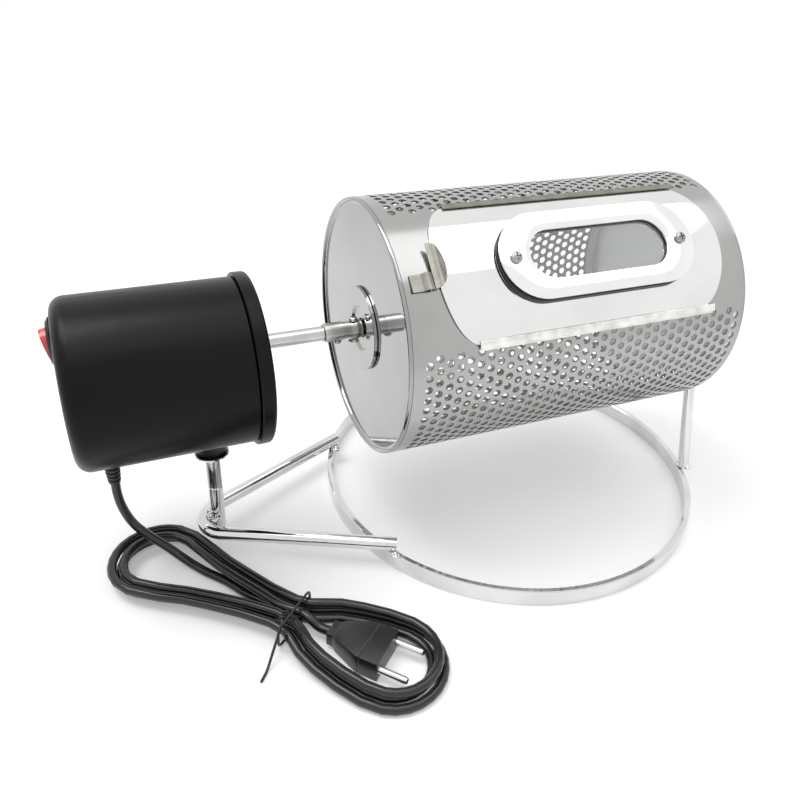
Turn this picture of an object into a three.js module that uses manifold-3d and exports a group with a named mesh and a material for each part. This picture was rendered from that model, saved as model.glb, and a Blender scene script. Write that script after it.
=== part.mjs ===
// Home coffee bean roaster: a perforated steel drum that a geared motor turns over a ring stand.
// Lengths are millimetres. X runs along the drum from the motor to the far end, Z is up, and the
// ring stands on Z = 0. Pieces are placed from the drum's near rim, and the finished group is
// moved so that its origin lies under the middle of the machine.
import * as THREE from 'three';
import { mergeGeometries, mergeVertices } from 'three/addons/utils/BufferGeometryUtils.js';
import Module from 'manifold-3d';

const wasm = await Module();
wasm.setup();

// Driving dimensions
const drumRadius = 70;
const drumLength = 205;
const axisHeight = 125.5;
const ringRadius = 119.5;
const housingRadius = 43.4;
const housingBackX = -152;
const housingFrontX = -57.8;
const housingDrop = 8.2;
const postX = -85.5;
const rodRadius = 4;
const shaftRadius = 4;
const sheet = 0.8;
const cordRadius = 2.5;
const gap = 0.3;
const runningGap = 0.3;
const overrun = 5;
const metre = 1000;
const doorAngle = THREE.MathUtils.degToRad(44.5);

// Counts of facets
const roundSides = 64;
const middleSides = 32;
const smallSides = 20;
const rodSides = 12;
const filletSteps = 4;
const bendSteps = 10;
const doorSteps = 14;
const leadSteps = 26;
const tailSteps = 12;

const steel = { color: 0xc9cccf, roughness: 0.18, metalness: 1 };
const materials = {
  polished: new THREE.MeshStandardMaterial(steel),
  chrome: new THREE.MeshStandardMaterial({ ...steel, color: 0xd8dadd, roughness: 0.08 }),
  matteSteel: new THREE.MeshStandardMaterial({ ...steel, color: 0x9b9a8e, roughness: 0.5 }),
  blackPlastic: new THREE.MeshStandardMaterial({ color: 0x111112, roughness: 0.35, metalness: 0 }),
  blackRubber: new THREE.MeshStandardMaterial({ color: 0x17181a, roughness: 0.6, metalness: 0 }),
  redPlastic: new THREE.MeshStandardMaterial({ color: 0xd23a34, roughness: 0.25, metalness: 0 }),
  glass: new THREE.MeshStandardMaterial({
    color: 0xe8eeee, roughness: 0.05, metalness: 0, transparent: true, opacity: 0.35,
  }),
  brass: new THREE.MeshStandardMaterial({ color: 0xb9974f, roughness: 0.35, metalness: 1 }),
};

// Pieces made in pairs: the side that each stands on, and its name
const sides = [[-1, 'left'], [1, 'right']];

const machine = new THREE.Group();

// A closed mesh as a solid, with its doubles merged, its empty triangles dropped and its faces out
function solid(geometry) {
  const bare = geometry.clone();
  bare.deleteAttribute('normal');
  bare.deleteAttribute('uv');
  const merged = mergeVertices(bare);
  const place = merged.attributes.position;
  const corners = [];
  let volume = 0;
  const a = new THREE.Vector3();
  const b = new THREE.Vector3();
  const c = new THREE.Vector3();
  for (let i = 0; i < merged.index.count; i += 3) {
    const triangle = [merged.index.getX(i), merged.index.getX(i + 1), merged.index.getX(i + 2)];
    if (new Set(triangle).size === 3) {
      corners.push(triangle);
      a.fromBufferAttribute(place, triangle[0]);
      b.fromBufferAttribute(place, triangle[1]);
      c.fromBufferAttribute(place, triangle[2]);
      volume += a.dot(b.cross(c));
    }
  }
  const outward = volume > 0 ? corners : corners.map(([p, q, r]) => [p, r, q]);
  return new wasm.Manifold(new wasm.Mesh({
    numProp: 3,
    vertProperties: new Float32Array(place.array),
    triVerts: new Uint32Array(outward.flat()),
  }));
}

function geometryOf(shape) {
  const mesh = shape.getMesh();
  const geometry = new THREE.BufferGeometry();
  geometry.setAttribute('position', new THREE.BufferAttribute(mesh.vertProperties.slice(), mesh.numProp));
  geometry.setIndex(new THREE.BufferAttribute(mesh.triVerts.slice(), 1));
  geometry.computeVertexNormals();
  return geometry;
}

function place(parent, name, shape, material) {
  const mesh = new THREE.Mesh(geometryOf(shape), material);
  mesh.name = name;
  parent.add(mesh);
}

// Turned about the X axis from a closed profile of [radius, x] points
function turnedX(profile, sides = roundSides) {
  const points = profile.map(([radius, x]) => new THREE.Vector2(radius, x));
  return new THREE.LatheGeometry([...points, points[0]], sides).rotateZ(-Math.PI / 2);
}

// Turned about the Z axis from a closed profile of [radius, z] points
function turnedZ(profile, sides = roundSides) {
  const points = profile.map(([radius, z]) => new THREE.Vector2(radius, z));
  return new THREE.LatheGeometry([...points, points[0]], sides).rotateX(Math.PI / 2);
}

function rodX(radius, from, to, sides = smallSides) {
  return new THREE.CylinderGeometry(radius, radius, to - from, sides)
    .rotateZ(-Math.PI / 2)
    .translate((from + to) / 2, 0, 0);
}

function rodZ(radius, from, to, sides = smallSides) {
  return new THREE.CylinderGeometry(radius, radius, to - from, sides)
    .rotateX(Math.PI / 2)
    .translate(0, 0, (from + to) / 2);
}

// An outline in X and Y, raised from one height to another
function raised(outline, from, to, curveSegments = filletSteps) {
  return new THREE.ExtrudeGeometry(outline, { depth: to - from, bevelEnabled: false, curveSegments })
    .translate(0, 0, from);
}

// A section in Y and Z, run along X
function runX(section, from, to) {
  return new THREE.ExtrudeGeometry(section, { depth: to - from, bevelEnabled: false })
    .applyMatrix4(new THREE.Matrix4().makeBasis(
      new THREE.Vector3(0, 1, 0), new THREE.Vector3(0, 0, 1), new THREE.Vector3(1, 0, 0)))
    .translate(from, 0, 0);
}

// One unbroken tube through the points, with flat ends
function tubeThrough(points, radius, sides) {
  const corners = [];
  const faces = [];
  const up = new THREE.Vector3(0, 0, 1);
  points.forEach((point, i) => {
    const ahead = points[Math.min(i + 1, points.length - 1)];
    const behind = points[Math.max(i - 1, 0)];
    const heading = ahead.clone().sub(behind).normalize();
    const across = heading.clone().cross(up).normalize();
    const over = across.clone().cross(heading).normalize();
    for (let k = 0; k < sides; k += 1) {
      const turn = 2 * Math.PI * (k + 0.5) / sides;
      corners.push(point.clone()
        .addScaledVector(across, radius * Math.cos(turn))
        .addScaledVector(over, radius * Math.sin(turn)));
    }
  });
  for (let i = 0; i < points.length - 1; i += 1) {
    for (let k = 0; k < sides; k += 1) {
      const here = i * sides + k;
      const next = i * sides + (k + 1) % sides;
      faces.push(here, next, here + sides, next, next + sides, here + sides);
    }
  }
  const last = (points.length - 1) * sides;
  for (let k = 1; k < sides - 1; k += 1) {
    faces.push(0, k + 1, k, last, last + k, last + k + 1);
  }
  const geometry = new THREE.BufferGeometry();
  geometry.setAttribute('position', new THREE.BufferAttribute(
    new Float32Array(corners.flatMap((corner) => corner.toArray())), 3));
  geometry.setIndex(faces);
  return geometry;
}

function roundedBar(halfLength, halfWidth, radius) {
  const outline = new THREE.Shape();
  outline.absarc(halfLength - radius, halfWidth - radius, radius, 0, Math.PI / 2);
  outline.absarc(radius - halfLength, halfWidth - radius, radius, Math.PI / 2, Math.PI);
  outline.absarc(radius - halfLength, radius - halfWidth, radius, Math.PI, 3 * Math.PI / 2);
  outline.absarc(halfLength - radius, radius - halfWidth, radius, 3 * Math.PI / 2, 2 * Math.PI);
  return outline;
}

// Base ring: a flat strip bent on edge into a hoop and butt welded. It lies where its far side
// carries the feet of the rear frame, which stands just beyond the drum.
const ring = { strip: 3.5, height: 10.3 };
const rear = { beyond: 11.5, outside: 0.6, radius: 3.5, footY: 46.8, lean: 0.224, drop: 13.5 };

// How far along X from the ring's centre a foot stands, from its Y and its reach past the ring
function ringSpan(footY, past) {
  return Math.sqrt((ringRadius + past) ** 2 - footY ** 2);
}

const rearX = drumLength + rear.beyond;
const rearTopZ = axisHeight - rear.drop;
const ringCentreX = rearX - ringSpan(rear.footY, rear.outside);
{
  const inner = ringRadius - ring.strip;
  const hoop = turnedZ([
    [inner, 0], [ringRadius, 0], [ringRadius, ring.height], [inner, ring.height],
  ]);
  place(machine, 'base_ring', solid(hoop.translate(ringCentreX, 0, 0)), materials.chrome);
}

// V frame: one rod bent round the motor post, its two ends welded on top of the ring
const vFrame = { endY: 55, inside: 3.7, bendRadius: 14 };
const vFrameEndX = ringCentreX - ringSpan(vFrame.endY, -vFrame.inside);
const vFrameZ = ring.height + gap + rodRadius;
const bendX = postX - shaftRadius - gap - rodRadius + vFrame.bendRadius;
{
  const reach = new THREE.Vector2(vFrameEndX - bendX, vFrame.endY);
  const tangentTurn = reach.angle() + Math.acos(vFrame.bendRadius / reach.length());
  const bend = Array.from({ length: bendSteps + 1 }, (_, i) => {
    const turn = tangentTurn + (2 * Math.PI - 2 * tangentTurn) * i / bendSteps;
    return new THREE.Vector3(
      bendX + vFrame.bendRadius * Math.cos(turn), vFrame.bendRadius * Math.sin(turn), vFrameZ);
  });
  const route = [
    new THREE.Vector3(vFrameEndX, vFrame.endY, vFrameZ), ...bend,
    new THREE.Vector3(vFrameEndX, -vFrame.endY, vFrameZ),
  ];
  place(machine, 'v_frame', solid(tubeThrough(route, rodRadius, rodSides)), materials.chrome);
}

// Motor post: upright rod welded in the bend, with a washer and the casing's boss on top of it
const post = {
  below: 11.9, washerRadius: 9.5, washerThick: 1.6, bossHeight: 11.7, bossTop: 12, bossFoot: 8.5, end: 8,
};
const housingZ = axisHeight - housingDrop;
const washerZ = housingZ - housingRadius - post.below;
{
  const bossZ = washerZ + post.washerThick + gap;
  const bore = shaftRadius + gap;
  const stem = rodZ(shaftRadius, vFrameZ - rodRadius, bossZ + post.end).translate(postX, 0, 0);
  place(machine, 'motor_post', solid(stem), materials.chrome);
  const washer = turnedZ([
    [bore, washerZ], [post.washerRadius, washerZ],
    [post.washerRadius, washerZ + post.washerThick], [bore, washerZ + post.washerThick],
  ], smallSides);
  place(machine, 'post_washer', solid(washer.translate(postX, 0, 0)), materials.chrome);
  const boss = turnedZ([
    [0, bossZ], [post.bossFoot, bossZ], [post.bossTop, bossZ + post.bossHeight],
    [0, bossZ + post.bossHeight],
  ], middleSides).translate(postX, 0, 0);
  const socket = rodZ(bore, bossZ - overrun, bossZ + post.end + gap).translate(postX, 0, 0);
  const casing = rodX(housingRadius + gap, housingBackX, housingFrontX, roundSides)
    .translate(0, 0, housingZ);
  place(machine, 'mounting_boss', solid(boss).subtract(solid(socket)).subtract(solid(casing)),
    materials.blackPlastic);
}

// Rear frame: one rod bent into an arch, its two feet welded on the ring
{
  const footZ = ring.height + gap;
  const slant = Math.cos(Math.atan(rear.lean));
  const archRadius = slant * (rear.footY - rear.lean * (rearTopZ - footZ)) / (1 - slant * rear.lean);
  const archZ = rearTopZ - archRadius;
  const springY = archRadius * slant;
  const springZ = archZ + archRadius * Math.sin(Math.atan(rear.lean));
  const from = Math.atan2(springZ - archZ, -springY);
  const to = Math.atan2(springZ - archZ, springY);
  const arch = Array.from({ length: bendSteps + 1 }, (_, i) => {
    const turn = from + (to - from) * i / bendSteps;
    return new THREE.Vector3(
      rearX, archRadius * Math.cos(turn), archZ + archRadius * Math.sin(turn));
  });
  const belowZ = footZ - overrun;
  const belowY = rear.footY + rear.lean * overrun;
  const route = [
    new THREE.Vector3(rearX, -belowY, belowZ), ...arch, new THREE.Vector3(rearX, belowY, belowZ),
  ];
  const rod = solid(tubeThrough(route, rear.radius, rodSides));
  const floor = new THREE.BoxGeometry(4 * rear.radius, 2 * ringRadius, 2 * footZ).translate(rearX, 0, 0);
  place(machine, 'rear_frame', rod.subtract(solid(floor)), materials.chrome);
}

// Axle saddle: a notched plate welded on the arch, open on top so that the drum lifts out
const saddle = { thick: 3, halfWidth: 11, lip: 8.5, corner: 3 };
const axleRadius = 4;
{
  const bottom = rearTopZ + rear.radius + gap;
  const top = axisHeight + saddle.lip;
  const outline = roundedBar((top - bottom) / 2, saddle.halfWidth, saddle.corner);
  const plate = raised(outline, -saddle.thick / 2, saddle.thick / 2)
    .rotateY(Math.PI / 2)
    .translate(rearX, 0, (top + bottom) / 2);
  const slotRadius = axleRadius + runningGap;
  const notch = rodX(slotRadius, rearX - overrun, rearX + overrun).translate(0, 0, axisHeight);
  const mouth = new THREE.BoxGeometry(2 * overrun, 2 * slotRadius, saddle.lip + overrun)
    .translate(rearX, 0, axisHeight + (saddle.lip + overrun) / 2);
  place(machine, 'axle_saddle', solid(plate).subtract(solid(notch)).subtract(solid(mouth)),
    materials.matteSteel);
}

// Motor casing: a moulded cup, closed at the switch end, with a turned-over front cover
const housing = { wall: 2.4, fillet: 7, cupFrontX: -65.3 };
const cover = { radius: 45.4, edge: 2, depth: 7.2, plate: 3.2, spigotWall: 2, spigot: 7 };
const switchHole = { radius: 10.3, rise: 24.3 };
const cordExitX = -137;
const reliefNeck = 4.2;
const casing = new THREE.Group();
casing.position.z = housingZ;
machine.add(casing);

function filletPoints(centreRadius, centreX, radius, from, to) {
  return Array.from({ length: filletSteps + 1 }, (_, i) => {
    const turn = from + (to - from) * i / filletSteps;
    return [centreRadius + radius * Math.cos(turn), centreX + radius * Math.sin(turn)];
  });
}

{
  const innerRadius = housingRadius - housing.wall;
  const innerFillet = housing.fillet - housing.wall;
  const bendCentre = housingRadius - housing.fillet;
  const bendStart = housingBackX + housing.fillet;
  const cup = turnedX([
    [0, housingBackX],
    ...filletPoints(bendCentre, bendStart, housing.fillet, -Math.PI / 2, 0),
    [housingRadius, housing.cupFrontX],
    [innerRadius, housing.cupFrontX],
    ...filletPoints(bendCentre, bendStart, innerFillet, 0, -Math.PI / 2),
    [0, housingBackX + housing.wall],
  ]);
  const window = rodX(switchHole.radius, housingBackX - overrun, housingBackX + overrun, middleSides)
    .translate(0, 0, switchHole.rise);
  const outlet = rodZ(reliefNeck + gap, -housingRadius - overrun, -innerRadius + overrun)
    .translate(cordExitX, 0, 0);
  place(casing, 'motor_housing', solid(cup).subtract(solid(window)).subtract(solid(outlet)),
    materials.blackPlastic);
}

// Synchronous motor and gearbox: screwed behind the cover, the output shaft off its centre
const gearbox = { radius: 30, length: 27, bore: 14 };
const motor = { radius: 28.5, length: 31 };
const motorScrew = { shank: 1.5, reach: 24, headRadius: 3.2, head: 2.2, length: 8 };
const bush = { radius: 8.5, proud: 1 };
const coverBackX = housingFrontX - cover.plate;
const gearFrontX = coverBackX - gap;
const gearBackX = gearFrontX - gearbox.length;
{
  const spigotRadius = housingRadius - housing.wall - gap;
  const flangeBackX = housingFrontX - cover.depth;
  const lid = turnedX([
    [0, housingFrontX],
    ...filletPoints(cover.radius - cover.edge, housingFrontX - cover.edge, cover.edge, Math.PI / 2, 0),
    [cover.radius, flangeBackX],
    [spigotRadius, flangeBackX],
    [spigotRadius, flangeBackX - cover.spigot],
    [spigotRadius - cover.spigotWall, flangeBackX - cover.spigot],
    [spigotRadius - cover.spigotWall, coverBackX],
    [0, coverBackX],
  ]);
  const bushHole = rodX(bush.radius + gap, coverBackX - overrun, housingFrontX + overrun)
    .translate(0, 0, housingDrop);
  const screwEnd = gearFrontX - motorScrew.length;
  const screwHoles = [-1, 1].map((side) => solid(
    rodX(motorScrew.shank + gap, screwEnd - gap, housingFrontX + overrun, rodSides)
      .translate(0, side * motorScrew.reach, 0)));
  const drilled = (shape) => screwHoles.reduce((left, hole) => left.subtract(hole), shape);
  place(casing, 'housing_cover', drilled(solid(lid).subtract(solid(bushHole))), materials.blackPlastic);

  const gears = rodX(gearbox.radius, gearBackX, gearFrontX, middleSides);
  const shaftBore = rodX(shaftRadius + runningGap, gearFrontX - gearbox.bore, gearFrontX + overrun)
    .translate(0, 0, housingDrop);
  place(casing, 'gearbox', drilled(solid(gears).subtract(solid(shaftBore))), materials.matteSteel);
  const can = rodX(motor.radius, gearBackX - gap - motor.length, gearBackX - gap, middleSides);
  place(casing, 'synchronous_motor', solid(can), materials.matteSteel);

  for (const [side, name] of sides) {
    const screw = turnedX([
      [0, screwEnd], [motorScrew.shank, screwEnd], [motorScrew.shank, housingFrontX + gap],
      [motorScrew.headRadius, housingFrontX + gap],
      [motorScrew.headRadius, housingFrontX + gap + motorScrew.head],
      [0, housingFrontX + gap + motorScrew.head],
    ], rodSides);
    place(casing, `motor_screw_${name}`, solid(screw.translate(0, side * motorScrew.reach, 0)),
      materials.chrome);
  }

  const bushBack = coverBackX;
  const bushFront = housingFrontX + bush.proud;
  const bore = shaftRadius + runningGap;
  const ringBush = turnedX([
    [bore, bushBack], [bush.radius, bushBack], [bush.radius, bushFront], [bore, bushFront],
  ], middleSides).translate(0, 0, housingDrop);
  place(casing, 'output_bush', solid(ringBush), materials.brass);
}

// Rocker switch: a round bezel snapped into the end wall, with a rocker that tips about its middle
const bezel = { radius: 12, faceRadius: 10.3, proud: 1.7, depth: 15, pocketRadius: 9.2 };
const rocker = { radius: 8, tip: 4.9, valley: 4.4, waist: 2, tail: 5, tilt: 12, inset: 1 };
{
  const backX = housingBackX - gap;
  const frontX = backX - bezel.proud;
  const barrel = switchHole.radius - gap;
  const pocketX = frontX + bezel.depth - housing.wall;
  const socket = turnedX([
    [bezel.pocketRadius, frontX], [bezel.faceRadius, frontX], [bezel.radius, backX], [barrel, backX],
    [barrel, frontX + bezel.depth], [0, frontX + bezel.depth], [0, pocketX], [bezel.pocketRadius, pocketX],
  ], middleSides).translate(0, 0, switchHole.rise);
  place(casing, 'switch_bezel', solid(socket), materials.blackPlastic);

  const side = new THREE.Shape([
    [rocker.tip, rocker.radius], [rocker.valley, 0], [rocker.tip, -rocker.radius],
    [rocker.waist, -rocker.radius], [-rocker.waist, -rocker.tail], [-rocker.waist, rocker.tail],
    [rocker.waist, rocker.radius],
  ].map(([out, up]) => new THREE.Vector2(-out, up)));
  const key = new THREE.ExtrudeGeometry(side, { depth: 2 * rocker.radius, bevelEnabled: false })
    .translate(0, 0, -rocker.radius)
    .rotateX(Math.PI / 2);
  const round = rodX(rocker.radius, -rocker.tip - overrun, rocker.tip + overrun, middleSides);
  const tipped = solid(key).intersect(solid(round))
    .rotate([0, -rocker.tilt, 0])
    .translate([housingBackX + rocker.inset, 0, switchHole.rise]);
  place(casing, 'switch_rocker', tipped, materials.redPlastic);
}

// Cord relief: a tapered bush under the casing, where the mains cord comes out
const relief = { collar: 4.6, tip: 3.1, length: 18.6, neckLength: 3 };
const reliefTopZ = -housingRadius - gap;
const cordStartZ = housingZ + reliefTopZ - relief.length - gap;
{
  const taper = turnedZ([
    [0, reliefTopZ - relief.length], [relief.tip, reliefTopZ - relief.length],
    [relief.collar, reliefTopZ], [reliefNeck, reliefTopZ], [reliefNeck, reliefTopZ + relief.neckLength],
    [0, reliefTopZ + relief.neckLength],
  ], smallSides).translate(cordExitX, 0, 0);
  place(casing, 'cord_relief', solid(taper), materials.blackRubber);
}

// Drive shaft and coupling: the motor's shaft and the drum's near axle meet inside a steel sleeve
const sleeve = {
  backX: -21, frontX: 0.6, wall: 0.9, meetX: -9.3, groove: 0.4, grooveX: -8, grooveStep: 1.4,
};
const sleeveRadius = shaftRadius + runningGap + sleeve.wall;
const crossBolt = { x: -3.9, shank: 1.3, head: 2.4, headHeight: 2, nutHeight: 1.8 };
const setScrew = { x: -12.8, shank: 1.4, head: 2.2, headHeight: 1.8 };
const axleHead = { radius: 9, thick: 3, x: 3.1 };
const spindle = new THREE.Group();
spindle.position.z = axisHeight;
machine.add(spindle);
{
  const shaftEnd = sleeve.meetX - gap;
  place(spindle, 'drive_shaft', solid(rodX(shaftRadius, gearFrontX - gearbox.bore + gap, shaftEnd)),
    materials.polished);

  const bore = shaftRadius + runningGap;
  const grooves = [-1, 1].flatMap((step) => {
    const middle = sleeve.grooveX + step * sleeve.grooveStep;
    return [
      [sleeveRadius, middle - sleeve.groove], [sleeveRadius - sleeve.groove, middle],
      [sleeveRadius, middle + sleeve.groove],
    ];
  });
  const tube = turnedX([
    [bore, sleeve.backX], [sleeveRadius, sleeve.backX], ...grooves, [sleeveRadius, sleeve.frontX],
    [bore, sleeve.frontX],
  ], smallSides);
  const boltHole = rodZ(crossBolt.shank + gap, -overrun - sleeveRadius, overrun + sleeveRadius, rodSides)
    .translate(crossBolt.x, 0, 0);
  const screwHole = rodZ(setScrew.shank + gap, -overrun - sleeveRadius, 0, rodSides)
    .translate(setScrew.x, 0, 0);
  place(spindle, 'coupling_sleeve', solid(tube).subtract(solid(boltHole)).subtract(solid(screwHole)),
    materials.polished);

  const seat = sleeveRadius + gap;
  const bolt = turnedZ([
    [0, -seat - crossBolt.nutHeight], [crossBolt.head, -seat - crossBolt.nutHeight],
    [crossBolt.head, -seat], [crossBolt.shank, -seat], [crossBolt.shank, seat], [crossBolt.head, seat],
    [crossBolt.head, seat + crossBolt.headHeight], [0, seat + crossBolt.headHeight],
  ], rodSides).translate(crossBolt.x, 0, 0);
  place(spindle, 'cross_bolt', solid(bolt), materials.matteSteel);

  const screw = turnedZ([
    [0, -seat - setScrew.headHeight], [setScrew.head, -seat - setScrew.headHeight],
    [setScrew.head, -seat], [setScrew.shank, -seat], [setScrew.shank, -shaftRadius - gap],
    [0, -shaftRadius - gap],
  ], rodSides).translate(setScrew.x, 0, 0);
  place(spindle, 'coupling_screw', solid(screw), materials.matteSteel);

  const stub = (from, headX) => [
    [0, from], [axleRadius, from], [axleRadius, headX], [axleHead.radius, headX],
    [axleHead.radius, headX + axleHead.thick], [0, headX + axleHead.thick],
  ];
  const nearStub = solid(turnedX(stub(sleeve.meetX + gap, axleHead.x), middleSides));
  place(spindle, 'near_axle', nearStub.subtract(solid(boltHole)), materials.polished);
  const farEnd = rearX + saddle.thick + gap;
  const farStub = turnedX(stub(drumLength - farEnd, axleHead.x), middleSides);
  place(spindle, 'far_axle', solid(farStub.rotateY(Math.PI).translate(drumLength, 0, 0)),
    materials.polished);
}

// End caps: pressed discs, dished into the drum and rolled into a bright bead over its edge
const cap = { recess: 2, hole: 4.6, roll: 1.7, flange: 9, shoulder: 2.5, beadTop: 0.6 };
const hub = { radius: 23, seat: 12, lift: 3.6, thick: 0.8, hole: 5.6, farHole: 4.4 };
const drum = new THREE.Group();
drum.position.z = axisHeight;
drum.rotation.x = doorAngle;
machine.add(drum);

// A length round the drum's surface, as an angle
function swing(length) {
  return length / drumRadius;
}

const shellInner = drumRadius - sheet;
const flangeOuter = shellInner - gap;
const flangeInner = flangeOuter - sheet;
{
  const disc = [
    [cap.hole, cap.recess], [flangeInner - cap.shoulder, cap.recess], [flangeInner - sheet, 0],
    [drumRadius - cap.beadTop, 0], [drumRadius, cap.beadTop], [drumRadius, cap.roll],
    [flangeOuter, cap.roll], [flangeOuter, cap.flange], [flangeInner, cap.flange],
    [flangeInner, cap.recess + sheet], [cap.hole, cap.recess + sheet],
  ];
  const dish = (hole) => [
    [hole, cap.recess - gap], [hub.seat, cap.recess - gap], [hub.radius, cap.recess - gap - hub.lift],
    [hub.radius, cap.recess - gap - hub.lift - hub.thick], [hub.seat, cap.recess - gap - hub.thick],
    [hole, cap.recess - gap - hub.thick],
  ];
  const farSide = (geometry) => geometry.rotateY(Math.PI).translate(drumLength, 0, 0);
  place(drum, 'near_cap', solid(turnedX(disc)), materials.polished);
  place(drum, 'far_cap', solid(farSide(turnedX(disc))), materials.polished);
  place(drum, 'near_hub', solid(turnedX(dish(hub.hole), middleSides)), materials.polished);
  place(drum, 'far_hub', solid(farSide(turnedX(dish(hub.farHole), middleSides))), materials.polished);
}

// Drum shell: a rolled perforated sheet with a loading opening under the door. The real sheet has
// some eighteen times as many holes, and none in the band under the door.
const door = { startX: 19.4, endX: 189.5, halfWidth: 36.7, endDepth: 20, lift: 0.5 };
const loading = { startX: 42, endX: 168, halfWidth: 27, corner: 12 };
const hole = { radius: 2.1, sides: 6, pitchX: 22, firstX: 15.8, bareAngle: 35, rows: 12 };
{
  const start = cap.roll + gap;
  const end = drumLength - start;
  const tube = turnedX([
    [shellInner, start], [drumRadius, start], [drumRadius, end], [shellInner, end],
  ]);
  const mouth = raised(
    roundedBar((loading.endX - loading.startX) / 2, loading.halfWidth, loading.corner),
    drumRadius / 2, drumRadius + overrun)
    .translate((loading.startX + loading.endX) / 2, 0, 0);
  const bare = THREE.MathUtils.degToRad(hole.bareAngle);
  const punches = [];
  for (let row = 0; row <= hole.rows; row += 1) {
    const turn = bare + (2 * Math.PI - 2 * bare) * row / hole.rows;
    const stagger = row % 2 ? hole.pitchX / 2 : 0;
    for (let x = hole.firstX + stagger; x < end - cap.flange; x += hole.pitchX) {
      punches.push(rodZ(hole.radius, shellInner - overrun, drumRadius + overrun, hole.sides)
        .rotateX(-turn)
        .translate(x, 0, 0));
    }
  }
  const shell = solid(tube).subtract(solid(mouth)).subtract(solid(mergeGeometries(punches)));
  place(drum, 'drum_shell', shell, materials.polished);
}

// Door rails: narrow folded strips welded along the shell, their lips over the door's long edges
const rail = {
  startX: 36.5, endX: 180.5, lipReach: 2.6, foot: 1.2, web: 0.9, thick: 0.8, side: 0.5,
};
const doorInner = drumRadius + door.lift;
const doorOuter = doorInner + sheet;

// A section given as [radius, angle] corners about the drum's axis, angles from straight up
function polarSection(corners) {
  return new THREE.Shape(corners.map(([radius, turn]) =>
    new THREE.Vector2(radius * Math.sin(turn), radius * Math.cos(turn))));
}

{
  const edge = Math.asin(door.halfWidth / (drumRadius + gap));
  const low = drumRadius + gap;
  const lipLow = doorOuter + gap;
  const lipHigh = lipLow + rail.thick;
  const webStart = edge + swing(rail.side);
  const webEnd = webStart + swing(rail.web);
  const footEnd = webEnd + swing(rail.foot);
  const lipEnd = webStart - swing(rail.lipReach + rail.side);
  const section = (side) => polarSection([
    [low, side * webStart], [low, side * footEnd], [low + rail.thick, side * footEnd],
    [low + rail.thick, side * webEnd], [lipHigh, side * webEnd], [lipHigh, side * lipEnd],
    [lipLow, side * lipEnd], [lipLow, side * webStart],
  ]);
  place(drum, 'rail_top', solid(runX(section(1), rail.startX, rail.endX)), materials.matteSteel);
  place(drum, 'rail_bottom', solid(runX(section(-1), rail.startX, rail.endX)), materials.matteSteel);
}

// Stirring vanes: angle strips welded inside the shell, which lift the beans as the drum turns
const vane = { height: 12, foot: 7, startX: 12, endX: 193 };
{
  const outer = shellInner - gap;
  const start = Math.PI / 2;
  const web = start + swing(sheet);
  const foot = start + swing(vane.foot);
  const section = (side) => polarSection([
    [outer, side * start], [outer, side * foot], [outer - sheet, side * foot],
    [outer - sheet, side * web], [outer - vane.height, side * web], [outer - vane.height, side * start],
  ]);
  place(drum, 'vane_back', solid(runX(section(1), vane.startX, vane.endX)), materials.matteSteel);
  place(drum, 'vane_front', solid(runX(section(-1), vane.startX, vane.endX)), materials.matteSteel);
}

// Spring latch: a bent strip on the shell, and a creased thumb tab that rides over the door's end
const latch = {
  startX: 5.5, bendX: 11.2, crestX: 14, valleyX: 16.4, halfWidth: 4.4, offset: -5, crest: 2.2,
  valley: 1.2, thick: 0.7, shoulderShare: 0.8,
};
const tab = { creaseX: 20.6, endX: 25.2, halfLength: 11.6, offset: 2.4, rise: 1.6, tip: 0.4 };
{
  const strip = (points, halfWidth, middle) => {
    const upper = points.map(([x, z]) => new THREE.Vector2(x, z));
    const lower = [...points].reverse().map(([x, z]) => new THREE.Vector2(x, z - latch.thick));
    return new THREE.ExtrudeGeometry(new THREE.Shape([...upper, ...lower]), {
      depth: 2 * halfWidth, bevelEnabled: false,
    }).rotateX(Math.PI / 2).translate(0, middle + halfWidth, 0);
  };
  const low = drumRadius + gap + latch.thick;
  const shoulder = low + latch.crest * latch.shoulderShare;
  const base = strip([
    [latch.startX, low], [latch.bendX, low], [(latch.bendX + latch.crestX) / 2, shoulder],
    [latch.crestX, low + latch.crest], [(latch.crestX + latch.valleyX) / 2, shoulder],
    [latch.valleyX, low + latch.valley],
  ], latch.halfWidth, latch.offset);
  place(drum, 'latch_strip', solid(base), materials.matteSteel);
  const tabStart = latch.valleyX + gap;
  const leaf = strip([
    [tabStart, low + latch.valley], [tab.creaseX, low + latch.valley + tab.rise],
    [tab.endX, low + latch.valley + tab.tip],
  ], tab.halfLength, tab.offset);
  const oval = new THREE.Shape();
  const halfSpan = tab.endX - tabStart;
  oval.absellipse(tab.endX - halfSpan, tab.offset, halfSpan, tab.halfLength, 0, 2 * Math.PI);
  const blank = raised(oval, drumRadius, drumRadius + 2 * overrun, middleSides);
  place(drum, 'latch_tab', solid(leaf).intersect(solid(blank)), materials.matteSteel);
}

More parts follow.
